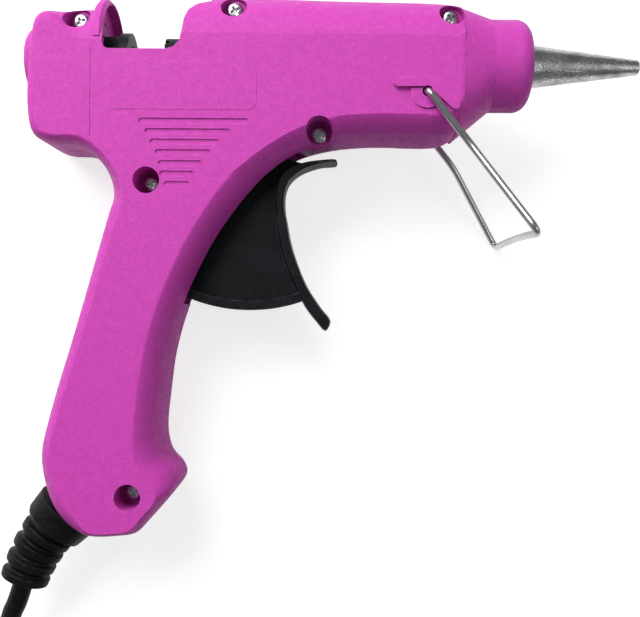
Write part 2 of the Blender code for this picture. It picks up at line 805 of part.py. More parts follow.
def nose_collar():
    """Return the round collar at the barrel's front, with its rounded rim."""
    front = along(NOSE_FRONT_SHARE)
    rear = front - NOSE_LENGTH
    profile = [(rear, 0.0), (rear, NOSE_RADIUS)]
    centre = (front - NOSE_ROUNDING, NOSE_RADIUS - NOSE_ROUNDING)
    profile += arc(centre, NOSE_ROUNDING, math.pi / 2, 0.0, 4)
    profile.append((front, 0.0))
    return turned("nose", profile, sides=28)


def inlet_dome():
    """Return the domed collar around the stick inlet at the rear."""
    rear = along(INLET_REAR_SHARE)
    inner = rear + INLET_DEPTH
    profile = [(rear, 0.0)]
    flat = INLET_BORE_RADIUS + INLET_LIP
    for step in range(5):
        angle = math.pi / 2 * step / 4
        radius = flat + (INLET_RADIUS - flat) * math.sin(angle)
        profile.append((rear + (INLET_RADIUS - flat) * (1.0 - math.cos(angle)), radius))
    profile += [(inner, INLET_RADIUS), (inner, 0.0)]
    return turned("dome", profile, sides=24)


def window_lip():
    """Return the raised lip along the window's rear edge, fading out at the side."""
    outline = [place(*row) for row in LIP_SHARES]
    base = (outline[0] + outline[-1]) / 2
    rings = []
    for z, scale in ((0.0, 1.0), (LIP_FLAT_HALF, 1.0), (LIP_END_HALF, LIP_END_SHARE)):
        rings.append([base + (point - base) * scale + Vector((0, 0, z)) for point in outline])
    return loft("lip", rings)


def stop_rib():
    """Return the raised rib that stops the stand's legs."""
    points = [place(*row)[:2] for row in STOP_RIB_SHARES]
    outline = band(points, STOP_RIB_WIDTH)
    return prism("stop", outline, HALF_THICKNESS - WALL / 2, HALF_THICKNESS + STOP_RIB_HEIGHT)


def stand_boss():
    """Return the flat half-moon boss around the stand's pivot."""
    at = place(*STAND_PIVOT_SHARES)
    outline = arc((at.x, at.y), STAND_BOSS_RADIUS, STAND_BOSS_START, STAND_BOSS_END, 14)
    return prism("boss", outline, HALF_THICKNESS - WALL / 2, HALF_THICKNESS + STAND_BOSS_HEIGHT)


def bar_channel():
    """Return the space for the carriage's drive bar, through the ribs."""
    rear = along(CARRIAGE_REAR_SHARE) - OVERRUN
    front = bar_front() + arm_reach() * TRIGGER_SWING + OVERRUN
    half = BAR_HALF_WIDTH + SEAT_GAP
    bottom = -(BAR_TOP + BAR_DEPTH + SEAT_GAP * 2)
    top = -CARRIAGE_RADIUS * KEEL_TOP_SHARE
    return box("bar_channel", (rear, bottom, -OVERRUN), (front, top, half))


def spring_channel():
    """Return the space for the return spring, from the drive bar to the rib in front."""
    centre = -(BAR_TOP + BAR_DEPTH / 2)
    radius = SPRING_RADIUS + SPRING_WIRE_RADIUS + SEAT_GAP
    return rod("spring_channel", (bar_front(), centre, 0), (spring_seat(), centre, 0), radius)


def bar_front():
    """Return where the carriage's drive bar ends at the front."""
    return arm_tip().x + BAR_FRONT


def arm_reach():
    """Return how far the trigger's arm reaches from the pivot into the drive bar."""
    rise = -(BAR_TOP + ARM_TIP_DEPTH) - PIVOT.y
    return rise / math.cos(TRIGGER_SWING / 2)


def arm_tip():
    """Return the centre of the trigger arm's round tip, half a swing behind the upright."""
    angle = math.pi / 2 + TRIGGER_SWING / 2
    return PIVOT + Vector((math.cos(angle), math.sin(angle), 0)) * arm_reach()


def jaw_pivot():
    """Return the jaw's pivot in the carriage's bar."""
    return Vector((along(JAW_PIVOT_SHARE), -(BAR_TOP + JAW_PIVOT_DEPTH), 0.0))


def lead_channel():
    """Return the space for one lead through the ribs."""
    rear, front, bottom, top = LEAD_CHANNEL_SHARES
    low = place(rear, bottom, LEAD_CHANNEL_INSIDE)
    high = place(front, top, LEAD_CHANNEL_INSIDE + LEAD_CHANNEL_WIDTH)
    return box("lead_channel", low, high)


def heater_channel():
    """Return the space for the heater's pocket and tabs, through the ribs."""
    start = along(POCKET_REAR_SHARE) - ELECTRODE_TAB - SEAT_GAP
    end = along(POCKET_REAR_SHARE) + POCKET_LENGTH + SEAT_GAP
    bottom = -(CHAMBER_RADIUS + POCKET_HEIGHT + POCKET_WALL * 2 + SEAT_GAP * 2)
    half = POCKET_HALF_WIDTH + SEAT_GAP
    return box("heater_channel", (start, bottom, -OVERRUN), (end, 0.0, half))


def head_seat():
    """Return the height of the floor that a case screw's head rests on."""
    return HALF_THICKNESS - SCREW_HEAD_DEPTH - SCREW_HEAD_HEIGHT - SEAT_GAP


def screw_hole(at, right):
    """Return the cutters for one case screw in a half."""
    up = Vector((0.0, 0.0, 1.0))
    shank = SCREW_SHANK_RADIUS + SEAT_GAP
    if right:
        floor = head_seat()
        mouth = at + up * (HALF_THICKNESS + OVERRUN)
        return (
            rod("counterbore", at + up * floor, mouth, COUNTERBORE_RADIUS),
            rod("shank_hole", at - up * OVERRUN, at + up * (floor + OVERRUN), shank, HOLE_SIDES),
        )
    depth = SCREW_LENGTH - head_seat() + SEAT_GAP
    return (rod("pilot_hole", at - up * OVERRUN, at + up * depth, shank, HOLE_SIDES),)


def clamp_posts():
    """Return the two posts in the left half that carry the cord's clamp."""
    at, out = clamp_frame()
    side = Vector((-out.y, out.x, 0.0)) * CLAMP_SCREW_SPACING / 2
    posts = []
    for way in (1, -1):
        centre = at + side * way
        low = centre + Vector((0.0, 0.0, SEAM_GAP / 2))
        high = centre + Vector((0.0, 0.0, HALF_THICKNESS - WALL / 2))
        post = rod("post", low, high, CLAMP_POST_RADIUS, 16)
        end = centre + Vector((0.0, 0.0, CLAMP_SCREW_LENGTH))
        cut(post, rod("pilot", centre, end, CLAMP_SCREW_RADIUS + SEAT_GAP, HOLE_SIDES))
        posts.append(post)
    return posts


def case_screw(at):
    """Return a pan-head case screw in its counterbore."""
    top = head_seat() + SEAT_GAP + SCREW_HEAD_HEIGHT
    seat = head_seat() + SEAT_GAP
    tip = seat - SCREW_LENGTH
    frame = aimed(at, (0, 0, 1))
    profile = (
        (tip, 0.0),
        (tip + SCREW_SHANK_RADIUS, SCREW_SHANK_RADIUS),
        (seat, SCREW_SHANK_RADIUS),
        (seat, SCREW_HEAD_RADIUS),
        (top - SCREW_HEAD_HEIGHT * 0.35, SCREW_HEAD_RADIUS),
        (top, SCREW_HEAD_RADIUS * 0.7),
        (top, 0.0),
    )
    return turned("screw", profile, frame, 16)


# The feed


def trigger():
    """Return the trigger: finger piece, web, lower rim, hub and the arm that drives the feed."""
    reach = TRIGGER_REACH
    outline = [PIVOT + Vector((x, y, 0)) * reach for x, y in FINGER_FRONT_SHARES + FINGER_BACK_SHARES]
    piece = pillow("trigger", outline, FINGER_HALF_WIDTH, FINGER_ROUNDING)
    back = [tuple((PIVOT + Vector((x, y, 0)) * reach)[:2]) for x, y in FINGER_BACK_SHARES]
    front = [tuple((PIVOT + Vector((x, y, 0)) * reach)[:2]) for x, y in FINGER_FRONT_SHARES]
    # The web reaches from the middle of the finger piece to the rim's back end.
    middle = [((a[0] + b[0]) / 2, (a[1] + b[1]) / 2) for a, b in zip(front, reversed(back))]
    centre = (PIVOT.x, PIVOT.y)
    web = middle[2:8]
    web += arc(centre, reach - RIM_THICKNESS / 2, RIM_FRONT_ANGLE, RIM_BACK_ANGLE, 10)
    web += arc(centre, HUB_RADIUS / 2, RIM_BACK_ANGLE, RIM_BACK_ANGLE - math.pi * 1.1, 6)
    add(piece, prism("web", web, -WEB_HALF_WIDTH, WEB_HALF_WIDTH))
    rim = arc(centre, reach, RIM_FRONT_ANGLE, RIM_BACK_ANGLE, 14)
    rim += arc(centre, reach - RIM_THICKNESS, RIM_BACK_ANGLE, RIM_FRONT_ANGLE, 14)
    add(piece, prism("rim", rim, -RIM_HALF_WIDTH, RIM_HALF_WIDTH))
    across = Vector((0, 0, HUB_HALF_WIDTH))
    add(piece, rod("hub", PIVOT - across, PIVOT + across, HUB_RADIUS))
    tip = arm_tip()
    neck = band((centre, tuple(tip[:2])), ARM_NECK_WIDTH)
    add(piece, prism("arm", neck, -ARM_HALF_WIDTH, ARM_HALF_WIDTH))
    across = Vector((0, 0, ARM_HALF_WIDTH))
    add(piece, rod("tip", tip - across, tip + across, ARM_TIP_RADIUS, 16))
    across = Vector((0, 0, HUB_HALF_WIDTH + OVERRUN))
    cut(piece, rod("bore", PIVOT - across, PIVOT + across, PIN_RADIUS + SEAT_GAP, 20))
    return piece


def pillow(name, outline, half, rounding):
    """Return an outline drawn to both sides, its edges rounded over."""
    count = len(outline)
    inner = []
    for i, point in enumerate(outline):
        along = (outline[(i + 1) % count] - outline[i - 1]).normalized()
        inner.append(point + Vector((along.y, -along.x, 0)) * rounding)
    soft = [point.lerp(drawn, 0.3) for point, drawn in zip(outline, inner)]
    rings = []
    for ring, z in (
        (inner, -half), (soft, -half + rounding * 0.3), (outline, -half + rounding),
        (outline, half - rounding), (soft, half - rounding * 0.3), (inner, half),
    ):
        rings.append([point + Vector((0, 0, z)) for point in ring])
    return loft(name, rings)


def feed_carriage():
    """Return the sliding tube with its drive bar, its fork and the slot for the jaw."""
    rear = along(CARRIAGE_REAR_SHARE)
    front = along(CARRIAGE_FRONT_SHARE)
    ring = front - CARRIAGE_RING_LENGTH
    profile = (
        (rear, STICK_CHANNEL_RADIUS),
        (rear, CARRIAGE_RADIUS),
        (ring, CARRIAGE_RADIUS),
        (ring, CARRIAGE_RING_RADIUS),
        (front, CARRIAGE_RING_RADIUS),
        (front, STICK_CHANNEL_RADIUS),
    )
    piece = turned("carriage", profile, sides=28, hollow=True)
    bottom = -(BAR_TOP + BAR_DEPTH)
    half = BAR_HALF_WIDTH
    keel_top = -CARRIAGE_RADIUS * KEEL_TOP_SHARE
    add(piece, box("keel", (rear, bottom, -half), (ring, keel_top, half)))
    add(piece, box("bar", (ring - OVERRUN, bottom, -half), (bar_front(), -BAR_TOP, half)))
    tip = arm_tip()
    gap = ARM_TIP_RADIUS + FORK_GAP
    low = (tip.x - gap, bottom - OVERRUN, -half - OVERRUN)
    high = (tip.x + gap, tip.y + gap, half + OVERRUN)
    cut(piece, box("fork", low, high))
    jaw = jaw_pivot()
    side = JAW_HALF_WIDTH + SEAT_GAP
    rear_of_jaw = jaw.x - JAW_HUB_RADIUS - SEAT_GAP * 2
    front_of_jaw = jaw.x + JAW_LENGTH + JAW_THICKNESS + SEAT_GAP * 2
    low = (rear_of_jaw, bottom - OVERRUN, -side)
    cut(piece, box("jaw_slot", low, (front_of_jaw, 0.0, side)))
    across = Vector((0, 0, half + OVERRUN))
    cut(piece, rod("jaw_hole", jaw - across, jaw + across, JAW_PIN_RADIUS + SEAT_GAP, 16))
    return piece


def grip_jaw():
    """Return the toothed jaw that bites the glue stick through the carriage's floor."""
    at = jaw_pivot()
    half = JAW_HALF_WIDTH
    tip_y = -(STICK_CHANNEL_RADIUS + JAW_TIP_DEPTH)
    head = at.x + JAW_LENGTH
    tooth = JAW_THICKNESS / JAW_TEETH
    half_bar = JAW_THICKNESS / 2
    front = head + half_bar
    outline = [(at.x, at.y - half_bar), (front, at.y - half_bar), (front, tip_y - tooth)]
    for step in range(JAW_TEETH):
        x = front - tooth * step
        outline.append((x - tooth / 2, tip_y))
        outline.append((x - tooth, tip_y - tooth))
    outline += [(head - half_bar, at.y + half_bar), (at.x, at.y + half_bar)]
    piece = prism("jaw", outline, -half, half)
    across = Vector((0, 0, half))
    add(piece, rod("hub", at - across, at + across, JAW_HUB_RADIUS, 20))
    across = Vector((0, 0, half + OVERRUN))
    cut(piece, rod("hole", at - across, at + across, JAW_PIN_RADIUS + SEAT_GAP, 16))
    return piece


def cross_pin(at, half, radius):
    """Return a pin across the gun, as far to either side."""
    across = Vector((0.0, 0.0, half))
    return rod("pin", at - across, at + across, radius, 16)


def front_guide():
    """Return the fixed guide tube, with the fine crown of teeth on its rear end."""
    rear = along(GUIDE_REAR_SHARE)
    step = along(GUIDE_STEP_SHARE)
    front = along(GUIDE_FRONT_SHARE)
    rib = along(RIB_SHARES[1][0]) + RIB_THICKNESS / 2 + SEAT_GAP
    profile = (
        (rear, STICK_CHANNEL_RADIUS),
        (rear, GUIDE_RADIUS),
        (rib, GUIDE_RADIUS),
        (rib, GUIDE_FLANGE_RADIUS),
        (rib + GUIDE_FLANGE_LENGTH, GUIDE_FLANGE_RADIUS),
        (rib + GUIDE_FLANGE_LENGTH, GUIDE_RADIUS),
        (step, GUIDE_RADIUS),
        (step, SPIGOT_RADIUS),
        (front, SPIGOT_RADIUS),
        (front, STICK_CHANNEL_RADIUS),
    )
    piece = turned("guide", profile, sides=CROWN_TEETH * 2, hollow=True)
    pitch = math.tau / CROWN_TEETH
    half = GUIDE_RADIUS * pitch / 4
    high = (rear + CROWN_DEPTH, GUIDE_RADIUS + OVERRUN, half)
    for tooth in range(CROWN_TEETH):
        notch = box("notch", (rear - OVERRUN, 0.0, -half), high)
        notch.data.transform(Matrix.Rotation(pitch * tooth, 4, "X"))
        cut(piece, notch)
    return piece


def feed_sleeve():
    """Return the silicone sleeve that joins the guide to the heated casting."""
    inner = SPIGOT_RADIUS + SEAT_GAP
    rear = along(SLEEVE_REAR_SHARE)
    front = along(SLEEVE_FRONT_SHARE)
    outer = inner + SLEEVE_WALL
    profile = ((rear, inner), (rear, outer), (front, outer), (front, inner))
    return turned("sleeve", profile, hollow=True)


def sleeve_clamp():
    """Return the wire band around the sleeve's front end."""
    inner = SPIGOT_RADIUS + SEAT_GAP + SLEEVE_WALL + SEAT_GAP
    rear = along(SLEEVE_CLAMP_SHARE)
    outer = inner + SLEEVE_CLAMP_WALL
    front = rear + SLEEVE_CLAMP_WIDTH
    profile = ((rear, inner), (rear, outer), (front, outer), (front, inner))
    return turned("clamp", profile, hollow=True)


def heater_nozzle():
    """Return the cast melting chamber with its nozzle, bore and heater pocket."""
    face = along(NOSE_FRONT_SHARE)
    tip = face + NOZZLE_LENGTH
    bore = STICK_CHANNEL_RADIUS
    profile = (
        (along(CHAMBER_REAR_SHARE), bore),
        (along(CHAMBER_REAR_SHARE), SPIGOT_RADIUS),
        (along(CHAMBER_STEP_SHARE), SPIGOT_RADIUS),
        (along(CHAMBER_STEP_SHARE), CHAMBER_RADIUS),
        (along(CHAMBER_FRONT_SHARE), CHAMBER_RADIUS),
        (along(CHAMBER_FRONT_SHARE), NECK_RADIUS),
        (face, NECK_RADIUS),
        (tip - NOZZLE_TIP_CHAMFER, NOZZLE_TIP_RADIUS),
        (tip, NOZZLE_TIP_RADIUS - NOZZLE_TIP_CHAMFER),
        (tip, ORIFICE_RADIUS),
        (tip - ORIFICE_LENGTH, ORIFICE_RADIUS),
        (along(CHAMBER_FRONT_SHARE), bore),
    )
    piece = turned("nozzle", profile, sides=28, hollow=True)
    rear = along(POCKET_REAR_SHARE)
    top = -(CHAMBER_RADIUS + POCKET_WALL)
    bottom = top - POCKET_HEIGHT
    wall = POCKET_WALL
    half = POCKET_HALF_WIDTH
    front = rear + POCKET_LENGTH
    add(piece, box("block", (rear, bottom - wall, -half), (front, -(bore + wall), half)))
    inner = half - wall
    cut(piece, box("pocket", (rear - OVERRUN, bottom, -inner), (front + OVERRUN, top, inner)))
    return piece


def electrode_half():
    """Return half the width of the ceramic and its electrodes."""
    return POCKET_HALF_WIDTH - POCKET_WALL - SEAT_GAP - INSULATOR_WALL - STACK_GAP * 2


def heater_stack():
    """Return the pieces in the heater's pocket by name: insulator, two electrodes and ceramic."""
    rear = along(POCKET_REAR_SHARE)
    front = rear + POCKET_LENGTH
    top = -(CHAMBER_RADIUS + POCKET_WALL) - SEAT_GAP
    bottom = top - POCKET_HEIGHT + SEAT_GAP * 2
    half = POCKET_HALF_WIDTH - POCKET_WALL - SEAT_GAP
    wall = INSULATOR_WALL
    insulator = box("insulator", (rear, bottom, -half), (front, top, half))
    low = (rear - OVERRUN, bottom + wall, wall - half)
    cut(insulator, box("inner", low, (front + OVERRUN, top - wall, half - wall)))
    middle = rear + POCKET_LENGTH / 2
    start, end = middle - CERAMIC_LENGTH / 2, middle + CERAMIC_LENGTH / 2
    side = electrode_half()
    level = (top + bottom) / 2
    half_ceramic = CERAMIC_THICKNESS / 2
    low, high = level - half_ceramic, level + half_ceramic
    ceramic = box("ceramic", (start, low, -side), (end, high, side))
    tab = rear - ELECTRODE_TAB
    above, over = high + STACK_GAP, high + STACK_GAP + ELECTRODE_THICKNESS
    upper = box("upper", (start, above, -side), (end, over, side))
    add(upper, box("tab", (tab, above, 0.0), (middle, over, side)))
    beneath, under = low - STACK_GAP, low - STACK_GAP - ELECTRODE_THICKNESS
    lower = box("lower", (start, under, -side), (end, beneath, side))
    add(lower, box("tab", (tab, under, -side), (middle, beneath, 0.0)))
    return {
        "heater_insulator": insulator,
        "heater_ceramic": ceramic,
        "electrode_upper": upper,
        "electrode_lower": lower,
    }


def spring_seat():
    """Return the x where the return spring meets the rib in front of it."""
    return along(RIB_SHARES[3][0]) - RIB_THICKNESS / 2


def return_spring():
    """Return the helical spring between the drive bar and its rib."""
    start = bar_front() + SEAT_GAP + SPRING_WIRE_RADIUS
    end = spring_seat() - SEAT_GAP - SPRING_WIRE_RADIUS
    centre = -(BAR_TOP + BAR_DEPTH / 2)
    path = []
    count = SPRING_TURNS * SPRING_POINTS
    for step in range(count + 1):
        angle = math.tau * step / SPRING_POINTS
        x = start + (end - start) * step / count
        y = centre + SPRING_RADIUS * math.cos(angle)
        path.append((x, y, SPRING_RADIUS * math.sin(angle)))
    return sweep("spring", path, [SPRING_WIRE_RADIUS] * len(path), 6)


# The stand, the strain relief and what is in the handle


def stand_wire():
    """Return the bent wire stand, from its end in one shell round to the other."""
    height = HALF_THICKNESS + STAND_BOSS_HEIGHT + SEAT_GAP + WIRE_RADIUS
    root = HALF_THICKNESS - WALL - WIRE_RADIUS
    half = [
        place(*STAND_PIVOT_SHARES, root),
        place(*STAND_PIVOT_SHARES, height),
        place(*LEG_KINK_SHARES, height),
        place(*FOOT_SHARES, FOOT_HALF_WIDTH),
    ]
    other = [Vector((p.x, p.y, -p.z)) for p in reversed(half)]
    bends = (WIRE_BEND, WIRE_BEND * 2, FOOT_BEND)
    path = bent(half + other, bends + tuple(reversed(bends)), 5)
    return sweep("stand", path, [WIRE_RADIUS] * len(path), 8)


def relief_curve(count):
    """Return points along the strain relief's curve, from its flange to its tip."""
    start = place(*RELIEF_START_SHARES)
    control = place(*RELIEF_CONTROL_SHARES)
    end = place(*RELIEF_END_SHARES)
    points = []
    for step in range(count + 1):
        t = step / count
        points.append(start.lerp(control, t).lerp(control.lerp(end, t), t))
    return points


def strain_relief():
    """Return the moulded strain relief: inner collar, neck, flange and ribbed tapering boot."""
    curve = relief_curve(60)
    lengths = [0.0]
    for low, high in zip(curve, curve[1:]):
        lengths.append(lengths[-1] + (high - low).length)
    total = lengths[-1]
    start, out = relief_axis()
    path, radii = [], []
    inner = WALL + SEAT_GAP + RELIEF_INNER_LENGTH
    for back, radius in (
        (inner, RELIEF_INNER_RADIUS), (WALL + SEAT_GAP * 1.1, RELIEF_INNER_RADIUS),
        (WALL + SEAT_GAP, RELIEF_NECK_RADIUS), (0.0, RELIEF_NECK_RADIUS),
    ):
        path.append(start - out * back)
        radii.append(radius)
    rounding = RELIEF_FLANGE_LENGTH * 0.1
    stations = [
        (SEAT_GAP / 10, RELIEF_FLANGE_RADIUS),
        (RELIEF_FLANGE_LENGTH - rounding, RELIEF_FLANGE_RADIUS - RELIEF_FLANGE_TAPER),
        (RELIEF_FLANGE_LENGTH, RELIEF_FLANGE_RADIUS - RELIEF_FLANGE_TAPER - rounding),
    ]
    ribbed = total - RELIEF_FLANGE_LENGTH
    for rib in range(RELIEF_RIBS):
        for share, depth in ((0.10, 1.0), (0.28, 1.0), (0.42, 0.0), (0.88, 0.0)):
            taper = (rib + share) / RELIEF_RIBS
            radius = RELIEF_BODY_RADIUS + (RELIEF_TIP_RADIUS - RELIEF_BODY_RADIUS) * taper
            station = RELIEF_FLANGE_LENGTH + ribbed * taper
            stations.append((station, radius - RELIEF_GROOVE_DEPTH * depth))
    stations.append((total, RELIEF_MOUTH_RADIUS))
    for station, radius in stations:
        after = min(bisect.bisect_left(lengths, station), len(lengths) - 1)
        share = (station - lengths[after - 1]) / (lengths[after] - lengths[after - 1])
        path.append(curve[after - 1].lerp(curve[after], share))
        radii.append(radius)
    return sweep("relief", path, radii, 14)


def inner_cord():
    """Return the end of the lead inside the handle, up to where its two wires part."""
    start, corner, end = inner_cord_corners()
    path = []
    for step in range(9):
        t = step / 8
        path.append(start.lerp(corner, t).lerp(corner.lerp(end, t), t))
    return sweep("inner_cord", path, [CORD_RADIUS] * len(path), 12)


def cord_clamp():
    """Return the bar that holds the lead down between its two screws."""
    at, out = clamp_frame()
    side = Vector((-out.y, out.x, 0.0))
    low = CORD_RADIUS + SEAT_GAP
    corners = []
    half = side * CLAMP_LENGTH / 2
    half_width = out * CLAMP_WIDTH / 2
    for corner in (half + half_width, half - half_width, -half - half_width, half_width - half):
        corners.append(tuple((at + corner)[:2]))
    piece = prism("clamp", corners, low, low + CLAMP_THICKNESS)
    for way in (1, -1):
        centre = at + side * way * CLAMP_SCREW_SPACING / 2
        hole = (centre, centre + Vector((0, 0, low + CLAMP_THICKNESS + OVERRUN)))
        cut(piece, rod("hole", *hole, CLAMP_SCREW_RADIUS + SEAT_GAP, HOLE_SIDES))
    return piece


def clamp_screw(way):
    """Return one screw of the cord's clamp."""
    at, out = clamp_frame()
    centre = at + Vector((-out.y, out.x, 0.0)) * way * CLAMP_SCREW_SPACING / 2
    seat = CORD_RADIUS + SEAT_GAP * 2 + CLAMP_THICKNESS
    head = seat + CLAMP_SCREW_HEAD * 0.7
    tip = seat - CLAMP_SCREW_LENGTH
    profile = (
        (tip, 0.0), (tip + CLAMP_SCREW_RADIUS, CLAMP_SCREW_RADIUS), (seat, CLAMP_SCREW_RADIUS),
        (seat, CLAMP_SCREW_HEAD), (head, CLAMP_SCREW_HEAD * 0.8), (head, 0.0),
    )
    return turned("screw", profile, aimed(centre, (0, 0, 1)), 16)


def heater_lead(way):
    """Return one insulated wire from the cord's end to an electrode's tab."""
    tab = along(POCKET_REAR_SHARE) - ELECTRODE_TAB - SEAT_GAP
    middle = -(CHAMBER_RADIUS + POCKET_WALL + POCKET_HEIGHT / 2)
    points = [(tab, middle, electrode_half() * 0.75 * way)]
    for x_share, y_share, z_share in LEAD_ROUTE_SHARES:
        points.append(tuple(place(x_share, y_share, z_share * HALF_THICKNESS * way)))
    path = spline(points, 2, closed=False)
    return sweep("lead", path, [LEAD_RADIUS] * len(path), 6)


# The lead on the table and its plug


def cord_object(name, points, resolution):
    """Return a round cord along points, as a curve with a bevel and closed ends."""
    curve = bpy.data.curves.new(name, "CURVE")
    curve.dimensions = "3D"
    curve.bevel_depth = CORD_RADIUS
    curve.bevel_resolution = resolution
    curve.use_fill_caps = True
    line = curve.splines.new("POLY")
    line.points.add(len(points) - 1)
    for knot, point in zip(line.points, points):
        knot.co = (*point, 1.0)
    made = bpy.data.objects.new(name, curve)
    bpy.context.scene.collection.objects.link(made)
    return made


def coil_points():
    """Return the coil's points: spiral in below, climb a layer in half a turn, spiral out above."""
    pitch = CORD_RADIUS * 2 + COIL_SPACE
    last = Vector(CORD_ROUTE[-1])
    top = last.y - CORD_RADIUS * 2 - SEAT_GAP
    centre = Vector((last.x + COIL_OUTER_RADIUS, top - CORD_RADIUS * 2))
    low = CORD_RADIUS
    high = CORD_RADIUS + pitch
    points = [Vector((last.x, last.y - SEAT_GAP, low)), Vector((last.x, top, low))]
    count = COIL_TURNS * COIL_STEPS
    for step in range(count + 1):
        turn = step / COIL_STEPS
        angle = math.pi + math.tau * turn
        from_middle = turn - COIL_TURNS / 2
        radius = COIL_OUTER_RADIUS - pitch * (COIL_TURNS / 2 - abs(from_middle))
        climb = min(max(from_middle * 2 + 0.5, 0.0), 1.0)
        climb = climb * climb * (3.0 - 2.0 * climb)
        height = low + (high - low) * climb
        x = centre.x + radius * math.cos(angle)
        points.append(Vector((x, centre.y + radius * math.sin(angle), height)))
    end = points[-1]
    for share in (0.33, 0.66, 1.0):
        points.append(Vector((end.x, end.y - COIL_TAIL * share, high)))
    return points


def least_gap(points):
    """Return the least gap between two stretches of the coil that aren't neighbours along it."""
    least = math.inf
    for i, point in enumerate(points):
        for j in range(i + COIL_STEPS // 2, len(points) - 1):
            start, end = points[j], points[j + 1]
            run = end - start
            share = min(max((point - start).dot(run) / run.length_squared, 0.0), 1.0)
            least = min(least, (point - (start + run * share)).length)
    return least - CORD_RADIUS * 2


def plug_start():
    """Return the point on the plug's rear face where the lead enters."""
    return coil_points()[-1] + Vector((0, -SEAT_GAP, 0))


def plug_body():
    """Return the moulded plug, lying flat with its lead's end straight behind it."""
    start = plug_start()
    rings = []
    height = start.z - SEAT_GAP
    for share, wide, high in (
        (0.0, PLUG_NECK_HALF, PLUG_NECK_HALF), (0.32, PLUG_NECK_HALF, PLUG_NECK_HALF),
        (0.50, PLUG_HALF_WIDTH * 0.82, height * 0.9), (0.62, PLUG_HALF_WIDTH, height),
        (0.97, PLUG_HALF_WIDTH, height), (1.0, PLUG_HALF_WIDTH * 0.94, height * 0.92),
    ):
        ring = []
        for step in range(24):
            angle = math.tau * step / 24
            cosine, sine = math.cos(angle), math.sin(angle)
            x = wide * math.copysign(abs(cosine) ** 0.5, cosine)
            z = high * math.copysign(abs(sine) ** 0.5, sine)
            ring.append(start + Vector((x, -PLUG_LENGTH * share, z)))
        rings.append(ring)
    return loft("plug", rings)


def plug_blade(way):
    """Return one flat blade of the plug."""
    face = plug_start() + Vector((way * BLADE_SPACING / 2, -PLUG_LENGTH - SEAT_GAP, 0))
    thick, wide = BLADE_THICKNESS / 2, BLADE_WIDTH / 2
    chamfer = thick
    rings = []
    for reach, inset in ((0.0, 0.0), (BLADE_LENGTH - chamfer, 0.0), (BLADE_LENGTH, chamfer / 2)):
        ring = []
        for across, up in ((1, 1), (-1, 1), (-1, -1), (1, -1)):
            ring.append(face + Vector((across * (thick - inset), -reach, up * (wide - inset))))
        rings.append(ring)
    return loft("blade", rings)


# Putting it together


def lying_turn():
    """Return the turn that rests the stand's foot and the handle's rear edge on the table."""
    foot = place(*FOOT_SHARES, -(FOOT_HALF_WIDTH + WIRE_RADIUS))
    upper = place(BODY_SHARES[13][2], BODY_SHARES[13][3], -HALF_THICKNESS)
    lower = place(BODY_SHARES[23][2], BODY_SHARES[23][3], -HALF_THICKNESS)
    normal = (upper - foot).cross(lower - foot).normalized()
    if normal.z < 0.0:
        normal.negate()
    return normal.rotation_difference(Vector((0.0, 0.0, 1.0))).to_matrix().to_4x4()


def lay_down(root, pieces):
    """Turn the gun onto the table, and put the middle of its box at the origin."""
    turn = lying_turn()
    lows = [math.inf] * 3
    highs = [-math.inf] * 3
    for piece in pieces:
        for vertex in piece.data.vertices:
            point = turn @ (piece.location + vertex.co)
            lows = [min(a, b) for a, b in zip(lows, point)]
            highs = [max(a, b) for a, b in zip(highs, point)]
    shift = Vector((-(lows[0] + highs[0]) / 2, -(lows[1] + highs[1]) / 2, -lows[2]))
    root.matrix_world = Matrix.Translation(shift) @ turn
    return root.matrix_world


def free_route(laid):
    """Return the free cord's points on the table, from the strain relief's tip to the coil."""
    tip = place(*RELIEF_END_SHARES)
    away = (laid.to_3x3() @ (tip - place(*RELIEF_CONTROL_SHARES))).normalized()
    first = laid @ tip + away * SEAT_GAP
    knots = [tuple(first), tuple(first + away * CORD_RADIUS * 2)] + list(CORD_ROUTE)
    return spline(knots, 2, closed=False)


def run_length(points):
    """Return the length of the line through the points."""
    return sum((Vector(b) - Vector(a)).length for a, b in zip(points, points[1:]))


